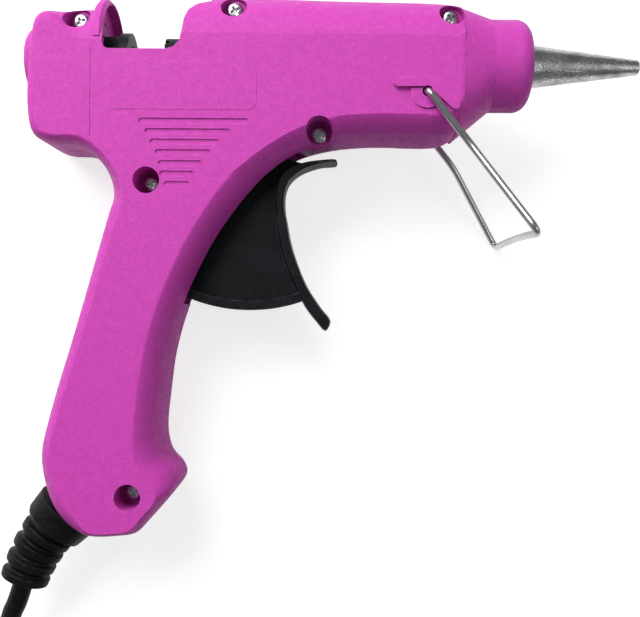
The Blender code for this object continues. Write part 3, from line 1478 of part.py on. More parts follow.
def main():
    """Clear the file, build every piece and lay the gun on the table."""
    for old in list(bpy.data.objects):
        bpy.data.objects.remove(old)
    magenta = material("magenta_abs", (0.60, 0.06, 0.44), 0.42)
    black = material("black_nylon", (0.02, 0.02, 0.024), 0.45)
    rubber = material("black_pvc", (0.018, 0.018, 0.02), 0.5)
    steel = material("plated_steel", (0.62, 0.62, 0.64), 0.25, 1.0)
    cast = material("cast_aluminium", (0.42, 0.42, 0.43), 0.5, 1.0)
    silicone = material("silicone", (0.75, 0.74, 0.70), 0.6)
    mica = material("insulating_film", (0.55, 0.30, 0.06), 0.5)
    ceramic = material("heater_ceramic", (0.35, 0.33, 0.31), 0.8)
    brass = material("brass", (0.78, 0.58, 0.26), 0.3, 1.0)
    white = material("white_insulation", (0.8, 0.8, 0.78), 0.6)

    root = bpy.data.objects.new("gun_frame", None)
    bpy.context.scene.collection.objects.link(root)
    pieces = [
        finish(shell_half(True), "shell_right", magenta, root),
        finish(shell_half(False), "shell_left", magenta, root),
        finish(trigger(), "trigger", black, root, PIVOT),
        finish(cross_pin(PIVOT, PIN_HALF_LENGTH, PIN_RADIUS), "trigger_pin", steel, root),
        finish(feed_carriage(), "feed_carriage", black, root),
        finish(grip_jaw(), "grip_jaw", steel, root, jaw_pivot()),
        finish(cross_pin(jaw_pivot(), BAR_HALF_WIDTH, JAW_PIN_RADIUS), "jaw_pin", steel, root),
        finish(return_spring(), "return_spring", steel, root),
        finish(front_guide(), "front_guide", black, root),
        finish(feed_sleeve(), "feed_sleeve", silicone, root),
        finish(sleeve_clamp(), "sleeve_clamp", steel, root),
        finish(heater_nozzle(), "heater_nozzle", cast, root),
        finish(stand_wire(), "stand_wire", steel, root, place(*STAND_PIVOT_SHARES)),
        finish(strain_relief(), "strain_relief", rubber, root),
        finish(inner_cord(), "inner_cord", rubber, root),
        finish(cord_clamp(), "cord_clamp", black, root),
    ]
    looks = {"heater_insulator": mica, "heater_ceramic": ceramic}
    for name, piece in heater_stack().items():
        pieces.append(finish(piece, name, looks.get(name, brass), root))
    for number, shares in enumerate(SCREW_SHARES, 1):
        screw = case_screw(place(*shares))
        pieces.append(finish(screw, f"case_screw_{number}", steel, root))
    for number, way in enumerate((1, -1), 1):
        pieces.append(finish(clamp_screw(way), f"clamp_screw_{number}", steel, root))
        pieces.append(finish(heater_lead(way), f"heater_lead_{number}", white, root))
    laid = lay_down(root, pieces)

    route = free_route(laid)
    turns = coil_points()
    for name, points, resolution in (("mains_cord", route, 2), ("cord_coil", turns, 1)):
        cord = cord_object(name, points, resolution)
        cord.data.materials.append(rubber)
    finish(plug_body(), "plug_body", rubber, None)
    for number, way in enumerate((1, -1), 1):
        finish(plug_blade(way), f"plug_blade_{number}", brass, None)
    print("least gap of the coil to itself, mm:", round(least_gap(turns) / MM, 3))
    print("length of the lead, m:", round(run_length(route) + run_length(turns), 4))


main()
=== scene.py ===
"""Dressed model of a hot glue applicator lying on its side, with its stand open.

The pieces are drawn in the gun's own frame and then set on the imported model:
X runs along the barrel to the nozzle, Y up from the barrel's axis, and Z out of the parting plane.
"""

from __future__ import annotations

import bisect
import json
import logging
import math
from dataclasses import dataclass, field
from enum import Enum
from typing import Callable, Sequence

import bmesh
import bpy
from mathutils import Matrix, Vector


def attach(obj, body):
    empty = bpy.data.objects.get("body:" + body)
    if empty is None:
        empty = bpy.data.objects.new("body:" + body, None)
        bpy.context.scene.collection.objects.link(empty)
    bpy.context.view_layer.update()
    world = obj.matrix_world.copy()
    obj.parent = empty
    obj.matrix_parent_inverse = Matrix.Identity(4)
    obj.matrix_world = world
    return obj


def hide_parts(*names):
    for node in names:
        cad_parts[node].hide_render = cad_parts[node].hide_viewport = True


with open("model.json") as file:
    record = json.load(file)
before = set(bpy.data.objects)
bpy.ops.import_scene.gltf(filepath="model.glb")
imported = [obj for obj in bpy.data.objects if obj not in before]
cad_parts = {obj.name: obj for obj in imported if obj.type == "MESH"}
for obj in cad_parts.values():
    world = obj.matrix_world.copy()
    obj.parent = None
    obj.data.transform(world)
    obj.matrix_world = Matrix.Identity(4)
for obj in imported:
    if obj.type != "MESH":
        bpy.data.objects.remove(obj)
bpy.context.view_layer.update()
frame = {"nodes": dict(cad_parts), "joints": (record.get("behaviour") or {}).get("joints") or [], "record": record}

LOG = logging.getLogger("applicator")
MM = 0.001
UP = Vector((0.0, 0.0, 1.0))
WHITE = (1.0, 1.0, 1.0, 1.0)
ROUND = 96
CORNER = 12
MERGED = 0.005 * MM
Piece = bpy.types.Object
Pair = tuple[float, float]
Colour = tuple[float, float, float]


# Finishes


class Grain(Enum):
    """How a surface is textured: its scale, its depth in millimetres and its share of coarse forms."""

    MOULDED = (4000.0, 0.10, 0.3)
    SATIN = (900.0, 0.04, 0.3)
    COVERING = (900.0, 0.30, 0.3)
    DRAWN = (500.0, 0.01, 0.3)
    ROLLED = (600.0, 0.01, 0.3)
    CAST = (1800.0, 0.22, 0.5)
    PLAIN = (1500.0, 0.05, 0.3)


class Edges(Enum):
    """How a piece's edges are rounded: how far, and over how many degrees."""

    SHELL = (0.22 * MM, 42.0)
    TRIGGER = (0.18 * MM, 40.0)
    TURNED = (0.12 * MM, 40.0)
    FINE = (0.06 * MM, 40.0)
    SOFT = (0.22 * MM, 30.0)


class Operation(Enum):
    """What a Boolean does with its tool."""

    CUT = "DIFFERENCE"
    ADD = "UNION"
    KEEP = "INTERSECT"


class Graph:
    """A small helper that adds and links nodes in one tree."""

    def __init__(self, tree: bpy.types.NodeTree) -> None:
        """Keep the tree.

        Args:
            tree: The shader or geometry tree to build in.
        """
        self.tree = tree

    def add(self, kind: str, inputs: dict | None = None, **settings: object) -> bpy.types.Node:
        """Add one node, set it and feed its inputs.

        Args:
            kind: The node's type name.
            inputs: Values or sockets by input name or index.
            settings: Properties of the node.

        Returns:
            The new node.
        """
        node = self.tree.nodes.new(kind)
        for name, value in settings.items():
            setattr(node, name, value)
        for key, value in (inputs or {}).items():
            if isinstance(value, bpy.types.NodeSocket):
                self.tree.links.new(value, node.inputs[key])
            else:
                node.inputs[key].default_value = value
        return node

    def here(self) -> bpy.types.NodeSocket:
        """Return the place on the object."""
        return self.add("ShaderNodeTexCoord").outputs["Object"]

    def noise(self, at: object, scale: object, detail: float, roughness: float = 0.5) -> bpy.types.NodeSocket:
        """Return the strength of one noise at a place."""
        inputs = {"Vector": at, "Scale": scale, "Detail": detail, "Roughness": roughness}
        return self.add("ShaderNodeTexNoise", inputs).outputs[0]

    def maths(self, operation: str, first: object, second: object = 0.0) -> bpy.types.NodeSocket:
        """Return the result of one Math node, kept between 0 and 1."""
        node = self.add("ShaderNodeMath", {0: first, 1: second}, operation=operation, use_clamp=True)
        return node.outputs[0]

    def mix(self, share: object, low: object, high: object) -> bpy.types.NodeSocket:
        """Return the colour between two colours at a share."""
        node = self.add("ShaderNodeMix", {0: share, 6: low, 7: high}, data_type="RGBA")
        return node.outputs[2]

    def ramp(self, value: object, low: float, high: float) -> bpy.types.NodeSocket:
        """Return a value spread smoothly from 0 at low to 1 at high."""
        node = self.add(
            "ShaderNodeMapRange",
            {"Value": value, "From Min": low, "From Max": high},
            interpolation_type="SMOOTHSTEP",
        )
        return node.outputs["Result"]


class Effects:
    """The shader node groups that several finishes share, each built once."""

    coarse_share: float = 0.18
    mottled: Pair = (0.35, 0.68)
    flecked: Pair = (0.34, 0.66)
    scratch_courses: tuple[Pair, Pair] = ((0.6, 1.0), (-0.9, 1.4))
    scratch_tilt: Pair = (0.3, 0.2)
    scratch_length: float = 26.0
    scratched: Pair = (0.70, 0.735)
    patch_scale: float = 70.0
    patched: Pair = (0.46, 0.62)
    broken_scale: float = 420.0
    broken: Pair = (0.40, 0.62)
    edge_radius: float = 0.45 * MM
    worn: Pair = (0.97, 0.86)
    speck_scale: float = 1900.0
    speckled: Pair = (0.69, 0.76)
    settled_scale: float = 55.0
    settled: Pair = (0.35, 0.7)

    def __init__(self) -> None:
        """Start with no group built."""
        self.built: dict[str, bpy.types.NodeTree] = {}

    def group(self, name: str, inputs: dict[str, float], outputs: Sequence[str],
              draw: Callable[[Graph, dict], dict]) -> bpy.types.NodeTree:
        """Build a group of plain numbers once and return it.

        Args:
            name: The group's name.
            inputs: Its inputs with their first values.
            outputs: Its outputs' names.
            draw: Builds the inside and returns each output's socket.

        Returns:
            The group's tree.
        """
        if name in self.built:
            return self.built[name]
        tree = bpy.data.node_groups.new(name, "ShaderNodeTree")
        for label, value in inputs.items():
            socket = tree.interface.new_socket(label, in_out="INPUT", socket_type="NodeSocketFloat")
            socket.default_value = value
        for label in outputs:
            tree.interface.new_socket(label, in_out="OUTPUT", socket_type="NodeSocketFloat")
        graph = Graph(tree)
        source = graph.add("NodeGroupInput")
        result = draw(graph, {label: source.outputs[label] for label in inputs})
        graph.add("NodeGroupOutput", result)
        self.built[name] = tree
        return tree

    def grain(self) -> bpy.types.NodeTree:
        """Return the group for a fine grain: its height and a mottle mask."""

        def draw(graph: Graph, given: dict) -> dict:
            """Draw two sizes of noise over each other."""
            at = graph.here()
            fine = graph.noise(at, given["Scale"], 3.0, 0.6)
            larger = graph.add("ShaderNodeMath", {0: given["Scale"], 1: self.coarse_share}, operation="MULTIPLY")
            coarse = graph.noise(at, larger.outputs[0], 4.0)
            height = graph.add("ShaderNodeMix", {0: given["Coarse"], 2: fine, 3: coarse})
            return {"Height": height.outputs[0], "Mottle": graph.ramp(coarse, *self.mottled),
                    "Fleck": graph.ramp(fine, *self.flecked)}

        return self.group("Fine grain", {"Scale": 1500.0, "Coarse": 0.3}, ("Height", "Mottle", "Fleck"), draw)

    def scratches(self) -> bpy.types.NodeTree:
        """Return the group for thin scattered scratches: their mask."""

        def draw(graph: Graph, given: dict) -> dict:
            """Draw stretched noise at two angles and keep its thin crests."""
            at = graph.here()
            found = []
            for angle, spread in self.scratch_courses:
                laid = graph.add("ShaderNodeMapping", {"Vector": at, "Rotation": (*self.scratch_tilt, angle),
                                                       "Scale": (spread, self.scratch_length * spread, spread)})
                found.append(graph.ramp(graph.noise(laid.outputs[0], given["Scale"], 1.0), *self.scratched))
            patches = graph.noise(at, self.patch_scale, 2.0)
            both = graph.maths("MAXIMUM", found[0], found[1])
            kept = graph.maths("MULTIPLY", both, graph.ramp(patches, *self.patched))
            return {"Mask": graph.maths("MULTIPLY", kept, given["Amount"])}

        return self.group("Scratches", {"Scale": 90.0, "Amount": 0.5}, ("Mask",), draw)

    def wear(self) -> bpy.types.NodeTree:
        """Return the group for worn edges and settled dust: their masks."""

        def draw(graph: Graph, given: dict) -> dict:
            """Find sharp outer edges, break them up, and scatter specks."""
            shape = graph.add("ShaderNodeNewGeometry")
            at = graph.here()
            broken = graph.noise(at, self.broken_scale, 4.0)
            rounded = graph.add("ShaderNodeBevel", {"Radius": self.edge_radius}, samples=3)
            turn = graph.add("ShaderNodeVectorMath", {0: rounded.outputs[0], 1: shape.outputs["Normal"]},
                             operation="DOT_PRODUCT")
            edge = graph.ramp(turn.outputs["Value"], *self.worn)
            edge = graph.maths("MULTIPLY", edge, graph.ramp(broken, *self.broken))
            dust = graph.ramp(graph.noise(at, self.speck_scale, 2.0), *self.speckled)
            settled = graph.noise(at, self.settled_scale, 3.0)
            dust = graph.maths("MULTIPLY", dust, graph.ramp(settled, *self.settled))
            return {"Edge": graph.maths("MULTIPLY", edge, given["Edge"]),
                    "Dust": graph.maths("MULTIPLY", dust, given["Dust"])}

        return self.group("Wear and dust", {"Edge": 0.5, "Dust": 0.4}, ("Edge", "Dust"), draw)


EFFECTS = Effects()


@dataclass(frozen=True)
class Finish:
    """One finish of the applicator, with its colours and the scale of its texture."""

    name: str
    slot: str
    colour: Colour
    shade: Colour
    roughness: float
    metallic: float = 0.0
    grain: Grain = Grain.PLAIN
    worn: Colour = (0.8, 0.8, 0.8)
    edge: float = 0.3
    dust: float = 0.3
    scratch: float = 0.3
    specular: float = 0.5
    fleck: float = 0.25
    fleck_share: float = 0.6
    rougher: float = 1.25

    def material(self) -> bpy.types.Material:
        """Return this finish's material, built on first use."""
        made = bpy.data.materials.get(self.name)
        if made is not None:
            return made
        made = bpy.data.materials.new(self.name)
        made.use_nodes = True
        made.node_tree.nodes.clear()
        graph = Graph(made.node_tree)
        scale, depth, coarse = self.grain.value
        grain = graph.add("ShaderNodeGroup", node_tree=EFFECTS.grain())
        grain.inputs["Scale"].default_value = scale
        grain.inputs["Coarse"].default_value = coarse
        scratch = graph.add("ShaderNodeGroup", node_tree=EFFECTS.scratches())
        scratch.inputs["Amount"].default_value = self.scratch
        wear = graph.add("ShaderNodeGroup", node_tree=EFFECTS.wear())
        wear.inputs["Edge"].default_value = self.edge
        wear.inputs["Dust"].default_value = self.dust
        colour = graph.mix(grain.outputs["Mottle"], (*self.colour, 1.0), (*self.shade, 1.0))
        dark = tuple(part * (1.0 - self.fleck) for part in self.colour)
        light = graph.mix(grain.outputs["Fleck"], (*dark, 1.0), colour)
        colour = graph.mix(self.fleck_share, colour, light)
        for mask in (wear.outputs["Edge"], wear.outputs["Dust"], scratch.outputs["Mask"]):
            colour = graph.mix(mask, colour, (*self.worn, 1.0))
        spread = graph.add("ShaderNodeMapRange", {"Value": grain.outputs["Mottle"], "To Min": self.roughness,
                                                  "To Max": min(self.roughness * self.rougher, 1.0)})
        height = graph.add("ShaderNodeMath", {0: grain.outputs["Height"], 1: scratch.outputs["Mask"]},
                           operation="SUBTRACT")
        bump = graph.add("ShaderNodeBump", {"Strength": 1.0, "Distance": depth * MM,
                                            "Height": height.outputs[0]})
        shader = graph.add(
            "ShaderNodeBsdfPrincipled",
            {"Base Color": colour, "Roughness": spread.outputs["Result"], "Metallic": self.metallic,
             "Normal": bump.outputs["Normal"], "Specular IOR Level": self.specular},
        )
        graph.add("ShaderNodeOutputMaterial", {"Surface": shader.outputs[0]})
        return made

    def dress(self, piece: Piece) -> None:
        """Give the whole piece this finish."""
        if piece.type in ("MESH", "CURVE"):
            piece.data.materials.clear()
            piece.data.materials.append(self.material())


MAGENTA = Finish("magenta moulded plastic", "housing", (0.640, 0.066, 0.480), (0.590, 0.058, 0.440), 0.47,
                 grain=Grain.MOULDED, worn=(0.86, 0.40, 0.76), edge=0.20, dust=0.22, scratch=0.05, specular=0.18,
                 fleck=0.42)
BLACK = Finish("black moulded nylon", "black_plastic", (0.0040, 0.0046, 0.0068), (0.0075, 0.0085, 0.0115), 0.46,
               grain=Grain.SATIN, worn=(0.16, 0.175, 0.20), edge=0.30, dust=0.65, scratch=0.0, specular=0.16,
               fleck=0.5)
RUBBER = Finish("black lead covering", "black_rubber", (0.0038, 0.0042, 0.0055), (0.0075, 0.008, 0.010), 0.44,
                grain=Grain.COVERING, worn=(0.10, 0.105, 0.12), edge=0.30, dust=0.20, scratch=0.0, specular=0.14,
                fleck=0.5)
PLATED = Finish("bright plated steel", "steel", (0.52, 0.52, 0.54), (0.40, 0.40, 0.42), 0.24, 1.0,
                grain=Grain.DRAWN, worn=(0.86, 0.86, 0.88), dust=0.1, scratch=0.1, fleck=0.1)
CAST = Finish("rough cast alloy", "cast_metal", (0.60, 0.60, 0.61), (0.27, 0.27, 0.28), 0.24, 1.0,
              grain=Grain.CAST, worn=(0.80, 0.80, 0.81), edge=0.5, dust=0.5, scratch=0.4, fleck=0.5)
BRASS = Finish("plated brass", "brass", (0.72, 0.60, 0.36), (0.62, 0.50, 0.28), 0.26, 1.0,
               grain=Grain.ROLLED, worn=(0.85, 0.78, 0.6))
SILICONE = Finish("pale silicone", "silicone", (0.70, 0.69, 0.64), (0.62, 0.60, 0.55), 0.5)
CERAMIC = Finish("dark ceramic", "ceramic", (0.30, 0.28, 0.26), (0.24, 0.22, 0.2), 0.7)
FILM = Finish("amber insulating film", "film", (0.50, 0.25, 0.05), (0.42, 0.2, 0.04), 0.35)
SLEEVE = Finish("white wire sleeve", "wire_sleeve", (0.74, 0.74, 0.71), (0.66, 0.66, 0.63), 0.55)


# Drawing tools


def gun_matrix() -> Matrix:
    """Return the gun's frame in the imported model, read from its joints."""
    joints = {joint["name"]: joint for joint in frame["joints"]}
    forward = Vector(joints["feed_slide"]["axis"]).normalized()
    out = -Vector(joints["trigger_pull"]["axis"]).normalized()
    up = out.cross(forward).normalized()
    turn = Matrix((forward, up, out)).transposed()
    pivot = Vector(joints["trigger_pull"]["pos_m"])
    origin = pivot - turn @ Vector((0.0, Sizes.pivot_y, 0.0))
    return Matrix.Translation(origin) @ turn.to_4x4()


@dataclass(frozen=True)
class Sizes:
    """The sizes that several assemblies share, in metres or as shares of the body's length and height."""

    length: float = 117.0 * MM
    height: float = 123.0 * MM
    half: float = 13.0 * MM
    side: float = 8.0 * MM
    wall: float = 2.0 * MM
    seam: float = 0.3 * MM
    gap: float = 0.3 * MM
    overrun: float = 1.0 * MM
    pivot_y: float = -0.1756 * 123.0 * MM
    swing: float = math.radians(25.0)
    stick: float = 4.1 * MM
    cord: float = 2.35 * MM
    nose_front_share: float = 0.561
    carriage_radius: float = 6.3 * MM
    screw_shares: tuple = (
        (-0.333, 0.0650), (-0.029, 0.088), (0.396, 0.076), (0.139, -0.143), (-0.192, -0.238), (-0.224, -0.817),
    )
    screw_head_height: float = 1.5 * MM
    screw_head_depth: float = 6.4 * MM
    screw_shank_radius: float = 0.85 * MM
    screw_length: float = 13.5 * MM
    stand_pivot_shares: tuple = (0.345, -0.074)
    stand_boss_height: float = 0.5 * MM
    wire_radius: float = 0.85 * MM
    trigger_reach: float = 36.7 * MM
    rim_half_width: float = 4.5 * MM
    rim_back_angle: float = math.radians(-114.0)
    hub_radius: float = 3.7 * MM
    hub_half_width: float = 6.0 * MM
    pin_radius: float = 1.5 * MM
    arm_tip_depth: float = 2.48 * MM
    arm_tip_radius: float = 1.5 * MM
    carriage_rear_share: float = -0.408
    keel_top_share: float = 0.8
    bar_top: float = 7.4 * MM
    bar_depth: float = 5.4 * MM
    bar_half_width: float = 3.0 * MM
    bar_front: float = 4.0 * MM
    jaw_pivot_share: float = -0.355
    jaw_pivot_depth: float = 2.56 * MM
    guide_radius: float = 5.9 * MM
    guide_rear_share: float = -0.170
    spigot_radius: float = 5.2 * MM
    chamber_step_share: float = 0.219
    chamber_front_share: float = 0.518
    chamber_radius: float = 6.6 * MM
    neck_radius: float = 5.1 * MM
    pocket_rear_share: float = 0.262
    pocket_length: float = 18.5 * MM
    pocket_half_width: float = 4.9 * MM
    pocket_wall: float = 1.0 * MM
    pocket_height: float = 4.4 * MM
    rib_shares: tuple = (
        (-0.372, -0.100), (-0.105, -0.108), (0.028, -0.108), (0.152, -0.116), (0.243, -0.088), (0.488, -0.074),
    )
    rib_thickness: float = 1.6 * MM
    relief_start_shares: tuple = (-0.3650, -0.8614)
    relief_control_shares: tuple = (-0.4282, -0.9171)
    relief_flange_radius: float = 8.0 * MM
    relief_flange_length: float = 5.5 * MM
    relief_neck_radius: float = 4.3 * MM
    relief_inner_radius: float = 5.6 * MM
    relief_inner_length: float = 2.2 * MM
    inner_cord_control: float = 7.0 * MM
    inner_cord_end_shares: tuple = (-0.2850, -0.6900)
    clamp_from_end: float = 3.3 * MM


PIVOT = Vector((0.0, Sizes.pivot_y, 0.0))


def place(x_share: float, y_share: float, z: float = 0.0) -> Vector:
    """Return a point of the body from its shares of the length and the height."""
    return Vector((x_share * Sizes.length, y_share * Sizes.height, z))


def along(x_share: float) -> float:
    """Return the place along the barrel of a share of the body's length."""
    return x_share * Sizes.length


def smooth_line(points: Sequence[Sequence[float]], steps: int, closed: bool) -> list[tuple[float, ...]]:
    """Return points along a centripetal curve through tuples of any size.

    Args:
        points: The tuples to pass through; their first three numbers set the spacing.
        steps: Steps between neighbours.
        closed: Whether the curve runs round.

    Returns:
        The points of the curve.
    """
    def beyond(inner: Sequence[float], end: Sequence[float]) -> tuple[float, ...]:
        """Return the mirrored point past an open end."""
        return tuple(2 * b - a for a, b in zip(inner, end))

    if closed:
        ring = [points[-1], *points, points[0], points[1]]
    else:
        ring = [beyond(points[1], points[0]), *points, beyond(points[-2], points[-1])]
    smooth = []
    for four in zip(ring, ring[1:], ring[2:], ring[3:]):
        knots = [0.0]
        for low, high in zip(four, four[1:]):
            knots.append(knots[-1] + math.sqrt(math.dist(low[:3], high[:3])))
        for step in range(steps):
            t = knots[1] + (knots[2] - knots[1]) * step / steps
            level = [tuple(row) for row in four]
            for pairs in (((0, 1), (1, 2), (2, 3)), ((0, 2), (1, 3)), ((1, 2),)):
                level = [
                    tuple(a + (b - a) * (t - knots[lo]) / (knots[hi] - knots[lo])
                          for a, b in zip(level[i], level[i + 1]))
                    for i, (lo, hi) in enumerate(pairs)
                ]
            smooth.append(level[0])
    if not closed:
        smooth.append(tuple(points[-1]))
    return smooth


def eased(share: float) -> float:
    """Return a share held between 0 and 1 and smoothed at both ends."""
    share = min(max(share, 0.0), 1.0)
    return share * share * (3.0 - 2.0 * share)


def powered(value: float, power: float) -> float:
    """Return a value's size raised to a power, with the value's own sign."""
    return math.copysign(abs(value) ** power, value)


def angles(count: int, offset: float = 0.0) -> list[float]:
    """Return evenly spaced angles once around, each an offset of one step further."""
    return [math.tau * (step + offset) / count for step in range(count)]


def quadratic(start: Vector, control: Vector, end: Vector, steps: int) -> list[Vector]:
    """Return points along a curve from a start to an end, drawn towards a control point."""
    shares = [step / steps for step in range(steps + 1)]
    return [start.lerp(control, t).lerp(control.lerp(end, t), t) for t in shares]


def stepped(places: Sequence[float], radii: Sequence[float], end: float) -> list[Pair]:
    """Return a profile whose radius changes in steps.

    Args:
        places: Where the radius changes, both ends included.
        radii: The radius between each two places.
        end: The radius at which the profile starts and ends.

    Returns:
        Places along the axis with their radii.
    """
    rows = [(x, radius) for low, high, radius in zip(places, places[1:], radii) for x in (low, high)]
    return [(places[0], end), *rows, (places[-1], end)]


def arc(centre: Sequence[float], radius: float, start: float, end: float, steps: int) -> list[Pair]:
    """Return points on an arc about a 2-D centre, both ends included."""
    return [
        (centre[0] + radius * math.cos(start + (end - start) * step / steps),
         centre[1] + radius * math.sin(start + (end - start) * step / steps))
        for step in range(steps + 1)
    ]


def object_from(name: str, build: bmesh.types.BMesh) -> Piece:
    """Return a new linked object whose mesh is the closed form in the bmesh."""
    bmesh.ops.recalc_face_normals(build, faces=build.faces)
    mesh = bpy.data.meshes.new(name)
    build.to_mesh(mesh)
    build.free()
    made = bpy.data.objects.new(name, mesh)
    bpy.context.scene.collection.objects.link(made)
    return made


def loft(name: str, rings: Sequence[Sequence[Vector]]) -> Piece:
    """Return an object bridged over rings of as many points each, its ends capped."""
    build = bmesh.new()
    rows = [[build.verts.new(point) for point in ring] for ring in rings]
    count = len(rows[0])
    for low, high in zip(rows, rows[1:]):
        for i in range(count):
            j = (i + 1) % count
            build.faces.new((low[i], low[j], high[j], high[i]))
    build.faces.new(rows[0])
    build.faces.new(rows[-1])
    return object_from(name, build)


def prism(name: str, outline: Sequence[Pair], low: float, high: float) -> Piece:
    """Return a 2-D outline drawn up from one height to another."""
    return loft(name, [[Vector((x, y, z)) for x, y in outline] for z in (low, high)])


def block(name: str, low: Sequence[float], high: Sequence[float]) -> Piece:
    """Return a block between two corners."""
    outline = ((low[0], low[1]), (high[0], low[1]), (high[0], high[1]), (low[0], high[1]))
    return prism(name, outline, low[2], high[2])


def turned(name: str, profile: Sequence[Pair], at: Matrix | None = None, sides: int = 48,
           hollow: bool = False) -> Piece:
    """Return a profile turned about a frame's X axis.

    Args:
        name: The object's name.
        profile: Places along the axis with their radii.
        at: The frame, or none for the gun's own axis.
        sides: Steps around.
        hollow: Whether the profile closes on itself around a bore.

    Returns:
        The turned object.
    """
    at = at or Matrix.Identity(4)
    build = bmesh.new()
    rows = []
    for reach, radius in profile:
        if radius == 0.0:
            rows.append([build.verts.new(at @ Vector((reach, 0.0, 0.0)))])
            continue
        rows.append([
            build.verts.new(at @ Vector((reach, radius * math.cos(angle), radius * math.sin(angle))))
            for angle in angles(sides)
        ])
    pairs = list(zip(rows, rows[1:]))
    if hollow:
        pairs.append((rows[-1], rows[0]))
    for low, high in pairs:
        for i in range(sides):
            j = (i + 1) % sides
            if len(low) == 1:
                build.faces.new((low[0], high[j], high[i]))
            elif len(high) == 1:
                build.faces.new((low[i], low[j], high[0]))
            else:
                build.faces.new((low[i], low[j], high[j], high[i]))
    if not hollow:
        for ring in (rows[0], rows[-1]):
            if len(ring) > 1:
                build.faces.new(ring)
    return object_from(name, build)


def aimed(point: Vector, direction: Sequence[float]) -> Matrix:
    """Return a frame at a point whose X axis runs along a direction."""
    turn = Vector((1.0, 0.0, 0.0)).rotation_difference(Vector(direction)).to_matrix().to_4x4()
    return Matrix.Translation(point) @ turn


def rod(name: str, start: Sequence[float], end: Sequence[float], radius: float, sides: int = 48) -> Piece:
    """Return a cylinder between two points."""
    start = Vector(start)
    reach = Vector(end) - start
    return turned(name, ((0.0, radius), (reach.length, radius)), aimed(start, reach), sides)


def sweep(name: str, path: Sequence[Sequence[float]], radii: Sequence[float], sides: int) -> Piece:
    """Return a round bar along a path of points, with a radius at each point, its ends capped."""
    points = [Vector(point) for point in path]
    tangents = [
        (points[min(i + 1, len(points) - 1)] - points[max(i - 1, 0)]).normalized() for i in range(len(points))
    ]
    normal = tangents[0].orthogonal().normalized()
    rings = []
    for i, point in enumerate(points):
        if i:
            normal = tangents[i - 1].rotation_difference(tangents[i]) @ normal
        side = tangents[i].cross(normal)
        rings.append([
            point + (normal * math.cos(angle) + side * math.sin(angle)) * radii[i] for angle in angles(sides)
        ])
    return loft(name, rings)


def bent(points: Sequence[Vector], radii: Sequence[float], steps: int) -> list[Vector]:
    """Return a path through corner points, each corner drawn as a curve of its own radius."""
    path = [points[0]]
    for before, corner, after, radius in zip(points, points[1:], points[2:], radii):
        start = corner + (before - corner).normalized() * radius
        path += quadratic(start, corner, corner + (after - corner).normalized() * radius, steps)
    path.append(points[-1])
    return path


def applied(piece: Piece) -> Piece:
    """Give a piece the mesh that its modifiers make of it, and take them off."""
    graph = bpy.context.evaluated_depsgraph_get()
    mesh = bpy.data.meshes.new_from_object(piece.evaluated_get(graph))
    piece.modifiers.clear()
    piece.data = mesh
    return piece


def combine(target: Piece, tool: Piece, operation: Operation) -> Piece:
    """Apply one exact Boolean to the target and remove the tool."""
    modifier = target.modifiers.new(operation.name, "BOOLEAN")
    modifier.operation = operation.value
    modifier.solver = "EXACT"
    modifier.object = tool
    applied(target)
    bpy.data.objects.remove(tool)
    return target


def cut(target: Piece, *tools: Piece) -> Piece:
    """Take each tool away from the target."""
    for tool in tools:
        combine(target, tool, Operation.CUT)
    return target


def add(target: Piece, *tools: Piece) -> Piece:
    """Join each tool to the target."""
    for tool in tools:
        combine(target, tool, Operation.ADD)
    return target


def soften(piece: Piece, edges: Edges) -> Piece:
    """Round a piece's sharp edges a little, so that they catch the light.

    Args:
        piece: The object, its mesh closed.
        edges: How far the rounding reaches, and over how many degrees an edge is rounded.

    Returns:
        The same object with its new mesh.
    """
    width, angle = edges.value
    build = bmesh.new()
    build.from_mesh(piece.data)
    bmesh.ops.remove_doubles(build, verts=build.verts, dist=MERGED)
    build.to_mesh(piece.data)
    build.free()
    bevel = piece.modifiers.new("soft edges", "BEVEL")
    bevel.width = width
    bevel.segments = 2
    bevel.limit_method = "ANGLE"
    bevel.angle_limit = math.radians(angle)
    bevel.use_clamp_overlap = True
    bevel.harden_normals = False
    return applied(piece)


def settle(piece: Piece, name: str, finish: Finish, body: str, nodes: Sequence[str] = (),
           sharp: float = 32.0, in_gun: bool = True) -> Piece:
    """Finish a piece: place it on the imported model, dress it and hang it on its body.

    Args:
        piece: The object, still in the gun's frame.
        name: Its final name.
        finish: Its finish.
        body: The CAD body that it rides on.
        nodes: The CAD nodes that it replaces.
        sharp: Edges over this many degrees stay sharp.
        in_gun: Whether it is drawn in the gun's frame and not on the table.

    Returns:
        The piece.
    """
    if in_gun:
        piece.data.transform(gun_matrix())
    piece.name = name
    piece.data.name = name
    finish.dress(piece)
    piece.data.shade_smooth()
    piece.data.set_sharp_from_angle(angle=math.radians(sharp))
    even = piece.modifiers.new("even normals", "WEIGHTED_NORMAL")
    even.mode = "FACE_AREA"
    even.weight = 100
    even.keep_sharp = True
    applied(piece).data.name = name
    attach(piece, body)
    if nodes:
        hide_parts(*nodes)
    LOG.info("%s: %d faces on %s", name, len(piece.data.polygons), body)
    return piece


# Shared places


